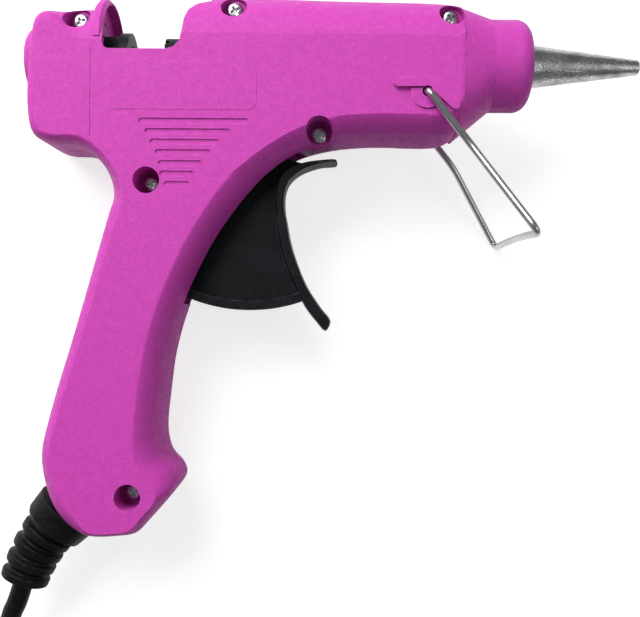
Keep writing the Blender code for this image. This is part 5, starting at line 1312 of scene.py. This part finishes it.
@dataclass(frozen=True)
class Trigger:
    """The trigger with its web, rim and arm."""

    finger_front_shares: tuple = (
        (0.561, -0.055), (0.502, -0.061), (0.409, -0.082), (0.317, -0.123),
        (0.257, -0.180), (0.231, -0.256), (0.228, -0.349), (0.243, -0.441),
        (0.280, -0.613), (0.368, -0.838), (0.462, -0.983), (0.525, -1.069),
    )
    finger_back_shares: tuple = (
        (0.491, -1.133), (0.430, -1.072), (0.353, -0.971), (0.244, -0.743),
        (0.195, -0.591), (0.172, -0.464), (0.165, -0.325), (0.171, -0.198),
        (0.198, -0.134), (0.258, -0.080), (0.347, -0.050), (0.448, -0.034),
        (0.556, -0.032),
    )
    finger_half_width: float = 4.5 * MM
    finger_rounding: float = 0.45 * MM
    finger_draft: float = 0.30 * MM
    web_half_width: float = 1.5 * MM
    web_back: tuple = (
        (0.85, math.radians(3.5)), (0.70, math.radians(7.0)), (0.50, math.radians(12.5)),
        (0.34, math.radians(19.0)), (0.20, math.radians(32.0)),
    )
    rim_thickness: float = 2.1 * MM
    rim_front_angle: float = math.radians(-68.0)
    arm_neck_width: float = 1.6 * MM
    arm_half_width: float = 2.0 * MM
    web_rows: tuple[int, int] = (2, 8)
    web_hub_turns: Pair = (0.6, 1.1)
    outline_steps: int = 3
    cap_steps: int = 5
    web_steps: int = 30
    hub_steps: int = 4
    rim_steps: int = 40

    def build(self) -> None:
        """Draw the trigger on its pivot."""
        settle(soften(self.draw(), Edges.TRIGGER), "finger_trigger", BLACK, "trigger", ["trigger"])

    def draw(self) -> Piece:
        """Return the trigger: finger piece, web, lower rim, hub and the arm that drives the feed."""
        reach = Sizes.trigger_reach
        front, back = (
            [tuple(PIVOT + Vector((x, y, 0)) * reach) for x, y in shares]
            for shares in (self.finger_front_shares, self.finger_back_shares)
        )
        smooth = [Vector(point) for point in smooth_line(front + back, self.outline_steps, closed=True)]
        piece = self.pillow("trigger", smooth, self.finger_half_width, self.finger_rounding)
        # The web reaches from the middle of the finger piece to the rim's back end.
        middle = [((a[0] + b[0]) / 2, (a[1] + b[1]) / 2) for a, b in zip(front, reversed(back))]
        centre = (PIVOT.x, PIVOT.y)
        web = middle[slice(*self.web_rows)]
        middle_reach = reach - self.rim_thickness / 2
        web += arc(centre, middle_reach, self.rim_front_angle, Sizes.rim_back_angle, self.web_steps)
        for share, further in self.web_back:
            angle = Sizes.rim_back_angle - further
            web.append((centre[0] + math.cos(angle) * reach * share, centre[1] + math.sin(angle) * reach * share))
        start, end = (Sizes.rim_back_angle - math.pi * turn for turn in self.web_hub_turns)
        web += arc(centre, Sizes.hub_radius / 2, start, end, self.hub_steps)
        add(piece, prism("web", web, -self.web_half_width, self.web_half_width))
        rim = arc(centre, reach, self.rim_front_angle, Sizes.rim_back_angle, self.rim_steps)
        inside = reach - self.rim_thickness
        rim += arc(centre, inside, Sizes.rim_back_angle, self.rim_front_angle, self.rim_steps)
        add(piece, prism("rim", rim, -Sizes.rim_half_width, Sizes.rim_half_width))
        across = Vector((0, 0, Sizes.hub_half_width))
        add(piece, rod("hub", PIVOT - across, PIVOT + across, Sizes.hub_radius))
        tip = arm_tip()
        neck = band((centre, tuple(tip[:2])), self.arm_neck_width)
        add(piece, prism("arm", neck, -self.arm_half_width, self.arm_half_width))
        across = Vector((0, 0, self.arm_half_width))
        add(piece, rod("tip", tip - across, tip + across, Sizes.arm_tip_radius, 16))
        across = Vector((0, 0, Sizes.hub_half_width + Sizes.overrun))
        cut(piece, rod("bore", PIVOT - across, PIVOT + across, Sizes.pin_radius + Sizes.gap, 20))
        return piece

    def pillow(self, name: str, outline: Sequence[Vector], half: float, rounding: float) -> Piece:
        """Return an outline drawn to both sides, its edges rounded over."""
        count = len(outline)
        inner = []
        for i, point in enumerate(outline):
            ahead = (outline[(i + 1) % count] - outline[i - 1]).normalized()
            inner.append(point + Vector((ahead.y, -ahead.x, 0)) * rounding)
        rings = []
        turns = [math.pi / 2 * step / self.cap_steps for step in range(self.cap_steps + 1)]
        for way, course in ((-1, reversed(turns)), (1, turns)):
            if way > 0:
                rings.append([point.copy() for point in outline])
            for angle in course:
                up = half - rounding * (1.0 - math.sin(angle))
                in_by = 1.0 - math.cos(angle) + self.finger_draft / rounding * up / half
                rings.append([
                    point.lerp(drawn, in_by) + Vector((0, 0, way * up)) for point, drawn in zip(outline, inner)
                ])
        return loft(name, rings)


@dataclass(frozen=True)
class Feed:
    """The sliding feed tube and the toothed guide in front of it."""

    fork_gap: float = 0.35 * MM
    carriage_front_share: float = -0.240
    carriage_ring_radius: float = 7.1 * MM
    carriage_ring_length: float = 2.2 * MM
    jaw_half_width: float = 1.3 * MM
    jaw_hub_radius: float = 1.9 * MM
    jaw_pin_radius: float = 0.75 * MM
    jaw_length: float = 6.5 * MM
    jaw_thickness: float = 1.7 * MM
    guide_step_share: float = 0.044
    guide_front_share: float = 0.120
    guide_flange_radius: float = 7.0 * MM
    guide_flange_length: float = 1.6 * MM
    crown_teeth: int = 16
    crown_depth: float = 0.9 * MM
    sides_per_tooth: int = 6

    def build(self) -> None:
        """Draw the sliding tube and the guide."""
        settle(soften(self.carriage(), Edges.TURNED), "feed_tube", BLACK, "carriage", ["feed_carriage"])
        settle(soften(self.guide(), Edges.FINE), "toothed_guide", BLACK, "housing", ["front_guide"])

    def carriage(self) -> Piece:
        """Return the sliding tube with its drive bar, its fork and the slot for the jaw."""
        rear = along(Sizes.carriage_rear_share)
        front = along(self.carriage_front_share)
        ring = front - self.carriage_ring_length
        profile = stepped((rear, ring, front), (Sizes.carriage_radius, self.carriage_ring_radius), Sizes.stick)
        piece = turned("carriage", profile, sides=ROUND, hollow=True)
        bottom = -(Sizes.bar_top + Sizes.bar_depth)
        half = Sizes.bar_half_width
        keel_top = -Sizes.carriage_radius * Sizes.keel_top_share
        add(piece, block("keel", (rear, bottom, -half), (ring, keel_top, half)))
        add(piece, block("bar", (ring - Sizes.overrun, bottom, -half), (bar_front(), -Sizes.bar_top, half)))
        tip = arm_tip()
        gap = Sizes.arm_tip_radius + self.fork_gap
        low = (tip.x - gap, bottom - Sizes.overrun, -half - Sizes.overrun)
        high = (tip.x + gap, tip.y + gap, half + Sizes.overrun)
        cut(piece, block("fork", low, high))
        jaw = jaw_pivot()
        side = self.jaw_half_width + Sizes.gap
        rear_of_jaw = jaw.x - self.jaw_hub_radius - Sizes.gap * 2
        front_of_jaw = jaw.x + self.jaw_length + self.jaw_thickness + Sizes.gap * 2
        low = (rear_of_jaw, bottom - Sizes.overrun, -side)
        cut(piece, block("jaw_slot", low, (front_of_jaw, 0.0, side)))
        across = Vector((0, 0, half + Sizes.overrun))
        cut(piece, rod("jaw_hole", jaw - across, jaw + across, self.jaw_pin_radius + Sizes.gap, 16))
        return piece

    def guide(self) -> Piece:
        """Return the fixed guide tube, with the fine crown of teeth on its rear end."""
        rear = along(Sizes.guide_rear_share)
        step = along(self.guide_step_share)
        front = along(self.guide_front_share)
        rib = along(Sizes.rib_shares[1][0]) + Sizes.rib_thickness / 2 + Sizes.gap
        places = (rear, rib, rib + self.guide_flange_length, step, front)
        radii = (Sizes.guide_radius, self.guide_flange_radius, Sizes.guide_radius, Sizes.spigot_radius)
        profile = stepped(places, radii, Sizes.stick)
        piece = turned("guide", profile, sides=self.crown_teeth * self.sides_per_tooth, hollow=True)
        pitch = math.tau / self.crown_teeth
        half = Sizes.guide_radius * pitch / 4
        high = (rear + self.crown_depth, Sizes.guide_radius + Sizes.overrun, half)
        for tooth in range(self.crown_teeth):
            notch = block("notch", (rear - Sizes.overrun, 0.0, -half), high)
            notch.data.transform(Matrix.Rotation(pitch * tooth, 4, "X"))
            cut(piece, notch)
        return piece


@dataclass(frozen=True)
class Nozzle:
    """The cast chamber and its nozzle."""

    chamber_rear_share: float = 0.152
    nozzle_length: float = 26.57 * MM
    nozzle_tip_radius: float = 1.8 * MM
    nozzle_tip_chamfer: float = 0.5 * MM
    orifice_radius: float = 0.8 * MM
    orifice_length: float = 9.0 * MM

    def build(self) -> None:
        """Draw the casting."""
        settle(soften(self.draw(), Edges.TURNED), "nozzle_casting", CAST, "housing", ["heater_nozzle"])

    def draw(self) -> Piece:
        """Return the cast melting chamber with its nozzle, bore and heater pocket."""
        face = along(Sizes.nose_front_share)
        tip = face + self.nozzle_length
        bore = Sizes.stick
        inner = along(Sizes.chamber_front_share)
        places = (along(self.chamber_rear_share), along(Sizes.chamber_step_share), inner, face)
        profile = stepped(places, (Sizes.spigot_radius, Sizes.chamber_radius, Sizes.neck_radius), bore)[:-1] + [
            (tip - self.nozzle_tip_chamfer, self.nozzle_tip_radius),
            (tip, self.nozzle_tip_radius - self.nozzle_tip_chamfer),
            (tip, self.orifice_radius),
            (tip - self.orifice_length, self.orifice_radius),
            (inner, bore),
        ]
        piece = turned("nozzle", profile, sides=ROUND, hollow=True)
        rear = along(Sizes.pocket_rear_share)
        top = -(Sizes.chamber_radius + Sizes.pocket_wall)
        bottom = top - Sizes.pocket_height
        wall = Sizes.pocket_wall
        half = Sizes.pocket_half_width
        front = rear + Sizes.pocket_length
        add(piece, block("block", (rear, bottom - wall, -half), (front, -(bore + wall), half)))
        inner = half - wall
        cut(piece, block("pocket", (rear - Sizes.overrun, bottom, -inner), (front + Sizes.overrun, top, inner)))
        return piece


@dataclass(frozen=True)
class Stand:
    """The bent wire stand."""

    wire_bend: float = 1.6 * MM
    leg_kink_shares: tuple = (0.430, -0.176)
    foot_shares: tuple = (0.5385, -0.3375)
    foot_half_width: float = 24.0 * MM
    foot_bend: float = 3.4 * MM
    foot_rise: float = 0.9 * MM
    foot_arch: float = 18.0 * MM
    bend_steps: int = 14
    sides: int = 32

    def build(self) -> None:
        """Draw the stand on its pivot."""
        settle(self.draw(), "wire_stand", PLATED, "stand", ["stand_wire"])

    def draw(self) -> Piece:
        """Return the bent wire stand, from its end in one shell round to the other."""
        height = Sizes.half + Sizes.stand_boss_height + Sizes.gap + Sizes.wire_radius
        root = Sizes.half - Sizes.wall - Sizes.wire_radius
        half = [
            place(*Sizes.stand_pivot_shares, root),
            place(*Sizes.stand_pivot_shares, height),
            place(*self.leg_kink_shares, height),
            place(*self.foot_shares, self.foot_half_width),
        ]
        other = [Vector((p.x, p.y, -p.z)) for p in reversed(half)]
        middle = place(*self.foot_shares) + Vector((0.0, self.foot_rise, 0.0))
        bends = (self.wire_bend, self.wire_bend * 2, self.foot_bend)
        path = bent(half + [middle] + other, bends + (self.foot_arch,) + bends[::-1], self.bend_steps)
        return sweep("stand", path, [Sizes.wire_radius] * len(path), self.sides)


@dataclass(frozen=True)
class Relief:
    """The ribbed strain relief at the handle's foot."""

    relief_end_shares: tuple = (-0.4556, -1.0000)
    relief_flange_taper: float = 0.6 * MM
    relief_body_radius: float = 6.4 * MM
    relief_tip_radius: float = 5.6 * MM
    relief_mouth_radius: float = 3.9 * MM
    relief_groove_depth: float = 1.2 * MM
    relief_ribs: int = 4
    rib_steps: tuple = ((0.10, 1.0), (0.28, 1.0), (0.42, 0.0), (0.88, 0.0))
    rounding_share: float = 0.1
    neck_step: float = 1.1
    flange_steps: float = 10.0
    curve_steps: int = 60
    sides: int = 64

    def build(self) -> None:
        """Draw the strain relief."""
        settle(soften(self.draw(), Edges.SOFT), "boot", RUBBER, "housing", ["strain_relief"])

    def curve(self, count: int) -> list[Vector]:
        """Return points along the strain relief's curve, from its flange to its tip."""
        start, control = place(*Sizes.relief_start_shares), place(*Sizes.relief_control_shares)
        return quadratic(start, control, place(*self.relief_end_shares), count)

    def draw(self) -> Piece:
        """Return the moulded strain relief: inner collar, neck, flange and ribbed tapering boot."""
        curve = self.curve(self.curve_steps)
        lengths = [0.0]
        for low, high in zip(curve, curve[1:]):
            lengths.append(lengths[-1] + (high - low).length)
        total = lengths[-1]
        start, out = relief_axis()
        path, radii = [], []
        inner = Sizes.wall + Sizes.gap + Sizes.relief_inner_length
        for back, radius in (
            (inner, Sizes.relief_inner_radius),
            (Sizes.wall + Sizes.gap * self.neck_step, Sizes.relief_inner_radius),
            (Sizes.wall + Sizes.gap, Sizes.relief_neck_radius), (0.0, Sizes.relief_neck_radius),
        ):
            path.append(start - out * back)
            radii.append(radius)
        rounding = Sizes.relief_flange_length * self.rounding_share
        stations = [
            (Sizes.gap / self.flange_steps, Sizes.relief_flange_radius),
            (Sizes.relief_flange_length - rounding, Sizes.relief_flange_radius - self.relief_flange_taper),
            (Sizes.relief_flange_length, Sizes.relief_flange_radius - self.relief_flange_taper - rounding),
        ]
        ribbed = total - Sizes.relief_flange_length
        for rib in range(self.relief_ribs):
            for share, depth in self.rib_steps:
                taper = (rib + share) / self.relief_ribs
                radius = self.relief_body_radius + (self.relief_tip_radius - self.relief_body_radius) * taper
                station = Sizes.relief_flange_length + ribbed * taper
                stations.append((station, radius - self.relief_groove_depth * depth))
        stations.append((total, self.relief_mouth_radius))
        for station, radius in stations:
            after = min(bisect.bisect_left(lengths, station), len(lengths) - 1)
            share = (station - lengths[after - 1]) / (lengths[after] - lengths[after - 1])
            path.append(curve[after - 1].lerp(curve[after], share))
            radii.append(radius)
        return sweep("relief", path, radii, self.sides)


@dataclass(frozen=True)
class Screws:
    """The case screws in their holes."""

    screw_head_radius: float = 1.9 * MM
    cross_length: float = 2.3 * MM
    cross_width: float = 0.62 * MM
    cross_depth: float = 0.9 * MM
    cross_turn: float = 0.5
    dome_share: float = 0.35
    dome_steps: int = 8

    def build(self) -> None:
        """Draw every case screw with its cross."""
        for number, (x_share, y_share) in enumerate(Sizes.screw_shares, 1):
            screw = soften(self.draw(place(x_share, y_share)), Edges.FINE)
            settle(screw, f"cross_screw_{number}", PLATED, "housing", [f"case_screw_{number}"])

    def draw(self, at: Vector) -> Piece:
        """Return a pan-head case screw in its counterbore."""
        seat = head_seat() + Sizes.gap
        top = seat + Sizes.screw_head_height
        tip = seat - Sizes.screw_length
        dome = Sizes.screw_head_height * self.dome_share
        profile: list[Pair] = [(tip, 0.0), (tip + Sizes.screw_shank_radius, Sizes.screw_shank_radius),
                               (seat, Sizes.screw_shank_radius), (seat, self.screw_head_radius)]
        for step in range(self.dome_steps + 1):
            angle = math.pi / 2 * step / self.dome_steps
            profile.append((top - dome + dome * math.sin(angle), self.screw_head_radius * math.cos(angle) ** 0.5))
        profile[-1] = (top, 0.0)
        screw = turned("screw", profile, aimed(at, UP))
        long, wide = self.cross_length / 2, self.cross_width / 2
        for turn in (self.cross_turn, self.cross_turn + math.pi / 2):
            arm = block("cross", (-long, -wide, top - self.cross_depth), (long, wide, top + Sizes.gap))
            arm.data.transform(Matrix.Translation(at) @ Matrix.Rotation(turn, 4, "Z"))
            cut(screw, arm)
        return screw


# The lead on the table


@dataclass
class Lead:
    """The free lead, its coil and its plug, drawn on the table."""

    route: tuple[tuple[float, float, float], ...] = (
        (-73.1 * MM, -76.5 * MM, 10.0 * MM), (-73.8 * MM, -84.0 * MM, 7.0 * MM), (-74.2 * MM, -92.5 * MM, 4.3 * MM),
        (-74.5 * MM, -101.0 * MM, 2.8 * MM), (-74.6 * MM, -110.0 * MM, 2.4 * MM),
        (-74.6 * MM, -119.0 * MM, 2.35 * MM),
    )
    radius: float = Sizes.cord
    outer: float = 37.0 * MM
    space: float = 0.5 * MM
    turns: int = 7
    steps: int = 48
    tail: float = 26.0 * MM
    tail_shares: tuple = (0.33, 0.66, 1.0)
    plug_length: float = 30.0 * MM
    plug_half_width: float = 12.0 * MM
    plug_neck: float = 4.2 * MM
    plug_neck_rows: tuple[Pair, ...] = ((0.0, 0.86), (0.02, 0.98), (0.05, 1.0))
    plug_rib_rows: tuple[Pair, ...] = ((0.0, 1.0), (0.012, 0.86), (0.03, 0.86), (0.042, 1.0))
    plug_ribs: int = 4
    plug_rib_start: float = 0.08
    plug_rib_space: float = 0.06
    plug_body_rows: tuple[tuple[float, float, float], ...] = (
        (0.46, 0.66, 0.84), (0.52, 0.86, 0.93), (0.58, 0.96, 0.985), (0.64, 1.0, 1.0), (0.94, 1.0, 1.0),
        (0.97, 0.985, 0.98), (0.99, 0.96, 0.94), (1.0, 0.93, 0.90),
    )
    plug_body_start: float = 0.42
    plug_powers: Pair = (0.72, 0.5)
    plug_sides: int = 64
    route_steps: int = 4

    def start(self) -> tuple[Vector, Vector]:
        """Return where the lead leaves the strain relief, and its direction there."""
        gun = gun_matrix()
        tip = place(*Relief.relief_end_shares)
        away = (gun.to_3x3() @ (tip - place(*Sizes.relief_control_shares))).normalized()
        return gun @ tip + away * Sizes.gap, away

    def points(self) -> list[Vector]:
        """Return the lead's whole centreline, from the strain relief through the coil to the plug."""
        first, away = self.start()
        knots = [tuple(first), tuple(first + away * self.radius * 2)] + list(self.route)
        line = [Vector(point) for point in smooth_line(knots, self.route_steps, closed=False)]
        pitch = self.radius * 2 + self.space
        last = Vector(self.route[-1])
        top = last.y - self.radius * 2 - Sizes.gap
        centre = Vector((last.x + self.outer, top - self.radius * 2))
        low, high = self.radius, self.radius + pitch
        line.append(Vector((last.x, top, low)))
        # The coil winds in on the table, climbs within half a turn and winds out again over it.
        for step in range(self.turns * self.steps + 1):
            turn = step / self.steps
            angle = math.pi + math.tau * turn
            middle = turn - self.turns / 2
            radius = self.outer - pitch * (self.turns / 2 - abs(middle))
            line.append(Vector((centre.x + radius * math.cos(angle), centre.y + radius * math.sin(angle),
                                low + (high - low) * eased(middle * 2 + 0.5))))
        end = line[-1]
        line += [Vector((end.x, end.y - self.tail * share, high)) for share in self.tail_shares]
        return line

    def build(self) -> None:
        line = self.points()
        curve = bpy.data.curves.new("lead", "CURVE")
        curve.dimensions = "3D"
        curve.bevel_depth = self.radius
        curve.bevel_resolution = 5
        curve.use_fill_caps = True
        spline = curve.splines.new("POLY")
        spline.points.add(len(line) - 1)
        for knot, point in zip(spline.points, line):
            knot.co = (*point, 1.0)
        piece = bpy.data.objects.new("lead", curve)
        bpy.context.scene.collection.objects.link(piece)
        RUBBER.dress(piece)
        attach(piece, "housing")
        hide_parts("mains_cord", "cord_coil")
        plug = self.plug(line[-1])
        tuple(self.start()[0])

    def plug(self, end: Vector) -> Piece:
        """Return the moulded plug, with grip ribs, drawn finer than its CAD solid."""
        start = end + Vector((0.0, -Sizes.gap, 0.0))
        height = start.z - Sizes.gap
        wide, neck = self.plug_half_width, self.plug_neck
        rows = list(self.plug_neck_rows)
        for rib in range(self.plug_ribs):
            begin = self.plug_rib_start + self.plug_rib_space * rib
            rows += [(begin + further, size) for further, size in self.plug_rib_rows]
        stations = [(share, neck * size, neck * size) for share, size in rows]
        stations += [(0.34, neck, neck), (0.40, neck * 1.25, neck * 1.02)]
        stations += [(share, wide * across, height * up) for share, across, up in self.plug_body_rows]
        rings = []
        for share, across, up in stations:
            power = self.plug_powers[share > self.plug_body_start]
            rings.append([
                start + Vector((across * powered(math.cos(angle), power), -self.plug_length * share,
                                up * powered(math.sin(angle), power)))
                for angle in angles(self.plug_sides)
            ])
        return settle(loft("plug", rings), "plug", RUBBER, "housing", ["plug_body"], in_gun=False)


# The studio


@dataclass
class Studio:
    """The table, the lights and the camera."""

    camera_at: tuple[float, float, float] = (16.7 * MM, -57.8 * MM, 214.0 * MM)
    roll: float = 0.0069
    lens: float = 50.56
    sensor: float = 36.0
    near: float = 0.01
    table: float = 3.0
    paper: float = 0.50
    matt: float = 0.9
    lift: float = 0.72
    room: float = 0.20
    lamps: tuple = (
        ("window light", (-0.33, 0.42, 0.44), 0.52, 6.3),
        ("fill light", (0.60, -0.10, 0.75), 0.60, 1.5),
    )

    def build(self) -> None:
        """Make the table, the lights and the camera."""
        self.floor()
        self.lights()
        self.camera()

    def floor(self) -> None:
        """Lay the pale table, seen as white away from the shadow."""
        half = self.table / 2
        build = bmesh.new()
        corners = [build.verts.new((x * half, y * half, 0.0)) for x, y in ((-1, -1), (1, -1), (1, 1), (-1, 1))]
        build.faces.new(corners)
        floor = object_from("table", build)
        made = bpy.data.materials.new("pale table")
        made.use_nodes = True
        made.node_tree.nodes.clear()
        graph = Graph(made.node_tree)
        grey = (self.paper, self.paper, self.paper, 1.0)
        paper = graph.add("ShaderNodeBsdfPrincipled", {"Base Color": grey, "Roughness": self.matt})
        rays = graph.add("ShaderNodeLightPath")
        seen = graph.maths("MAXIMUM", rays.outputs["Is Camera Ray"], rays.outputs["Is Glossy Ray"])
        lift = graph.add("ShaderNodeMath", {0: seen, 1: self.lift}, operation="MULTIPLY")
        graph.tree.links.new(lift.outputs[0], paper.inputs["Emission Strength"])
        paper.inputs["Emission Color"].default_value = WHITE
        graph.add("ShaderNodeOutputMaterial", {"Surface": paper.outputs[0]})
        floor.data.materials.append(made)

    def lights(self) -> None:
        """Hang the soft lamps and light the room evenly."""
        world = bpy.data.worlds.new("room")
        world.use_nodes = True
        sky = world.node_tree.nodes["Background"]
        sky.inputs["Color"].default_value = WHITE
        sky.inputs["Strength"].default_value = self.room
        bpy.context.scene.world = world
        for lamp in self.lamps:
            self.lamp(*lamp)

    def lamp(self, name: str, at: tuple[float, float, float], size: float, power: float) -> None:
        """Hang one square lamp aimed at the middle of the gun.

        Args:
            name: The lamp's name.
            at: Its place in metres.
            size: Its side in metres.
            power: Its power in watts.
        """
        data = bpy.data.lights.new(name, "AREA")
        data.shape = "SQUARE"
        data.size = size
        data.energy = power
        lamp = bpy.data.objects.new(name, data)
        lamp.location = at
        lamp.rotation_euler = (-Vector(at)).to_track_quat("-Z", "Y").to_euler()
        bpy.context.scene.collection.objects.link(lamp)

    def camera(self) -> None:
        """Set the camera where the photograph was taken from, square to the gun's side."""
        data = bpy.data.cameras.new("camera")
        data.lens = self.lens
        data.sensor_width = self.sensor
        data.clip_start = self.near
        camera = bpy.data.objects.new("camera", data)
        bpy.context.scene.collection.objects.link(camera)
        turn = Matrix.Rotation(self.roll, 4, "Z")
        camera.matrix_world = gun_matrix() @ Matrix.Translation(self.camera_at) @ turn
        bpy.context.scene.camera = camera
        bpy.context.scene.view_settings.view_transform = "Standard"


# Dressing of the inner CAD pieces


@dataclass
class InnerPieces:
    """The CAD solids inside the housing that keep their own shape."""

    finishes: dict[str, Finish] = field(default_factory=lambda: {
        "housing": MAGENTA, "black_plastic": BLACK, "black_rubber": RUBBER, "steel": PLATED, "cast_metal": CAST,
        "brass": BRASS, "silicone": SILICONE, "ceramic": CERAMIC, "film": FILM, "wire_sleeve": SLEEVE,
    })

    def build(self) -> None:
        """Dress every CAD node by the material slot that the record gives it."""
        slots = {row["node"]: row["material_slot"] for row in frame["record"]["subparts"]}
        for name, node in frame["nodes"].items():
            self.finishes[slots[name]].dress(node)


def main() -> None:
    """Build every assembly in order."""
    logging.basicConfig(level=logging.INFO, format="%(message)s")
    for assembly in (InnerPieces, Studio, Housing, Trigger, Feed, Nozzle, Stand, Relief, Screws, Lead):
        assembly().build()


if __name__ == "__main__":
    main()
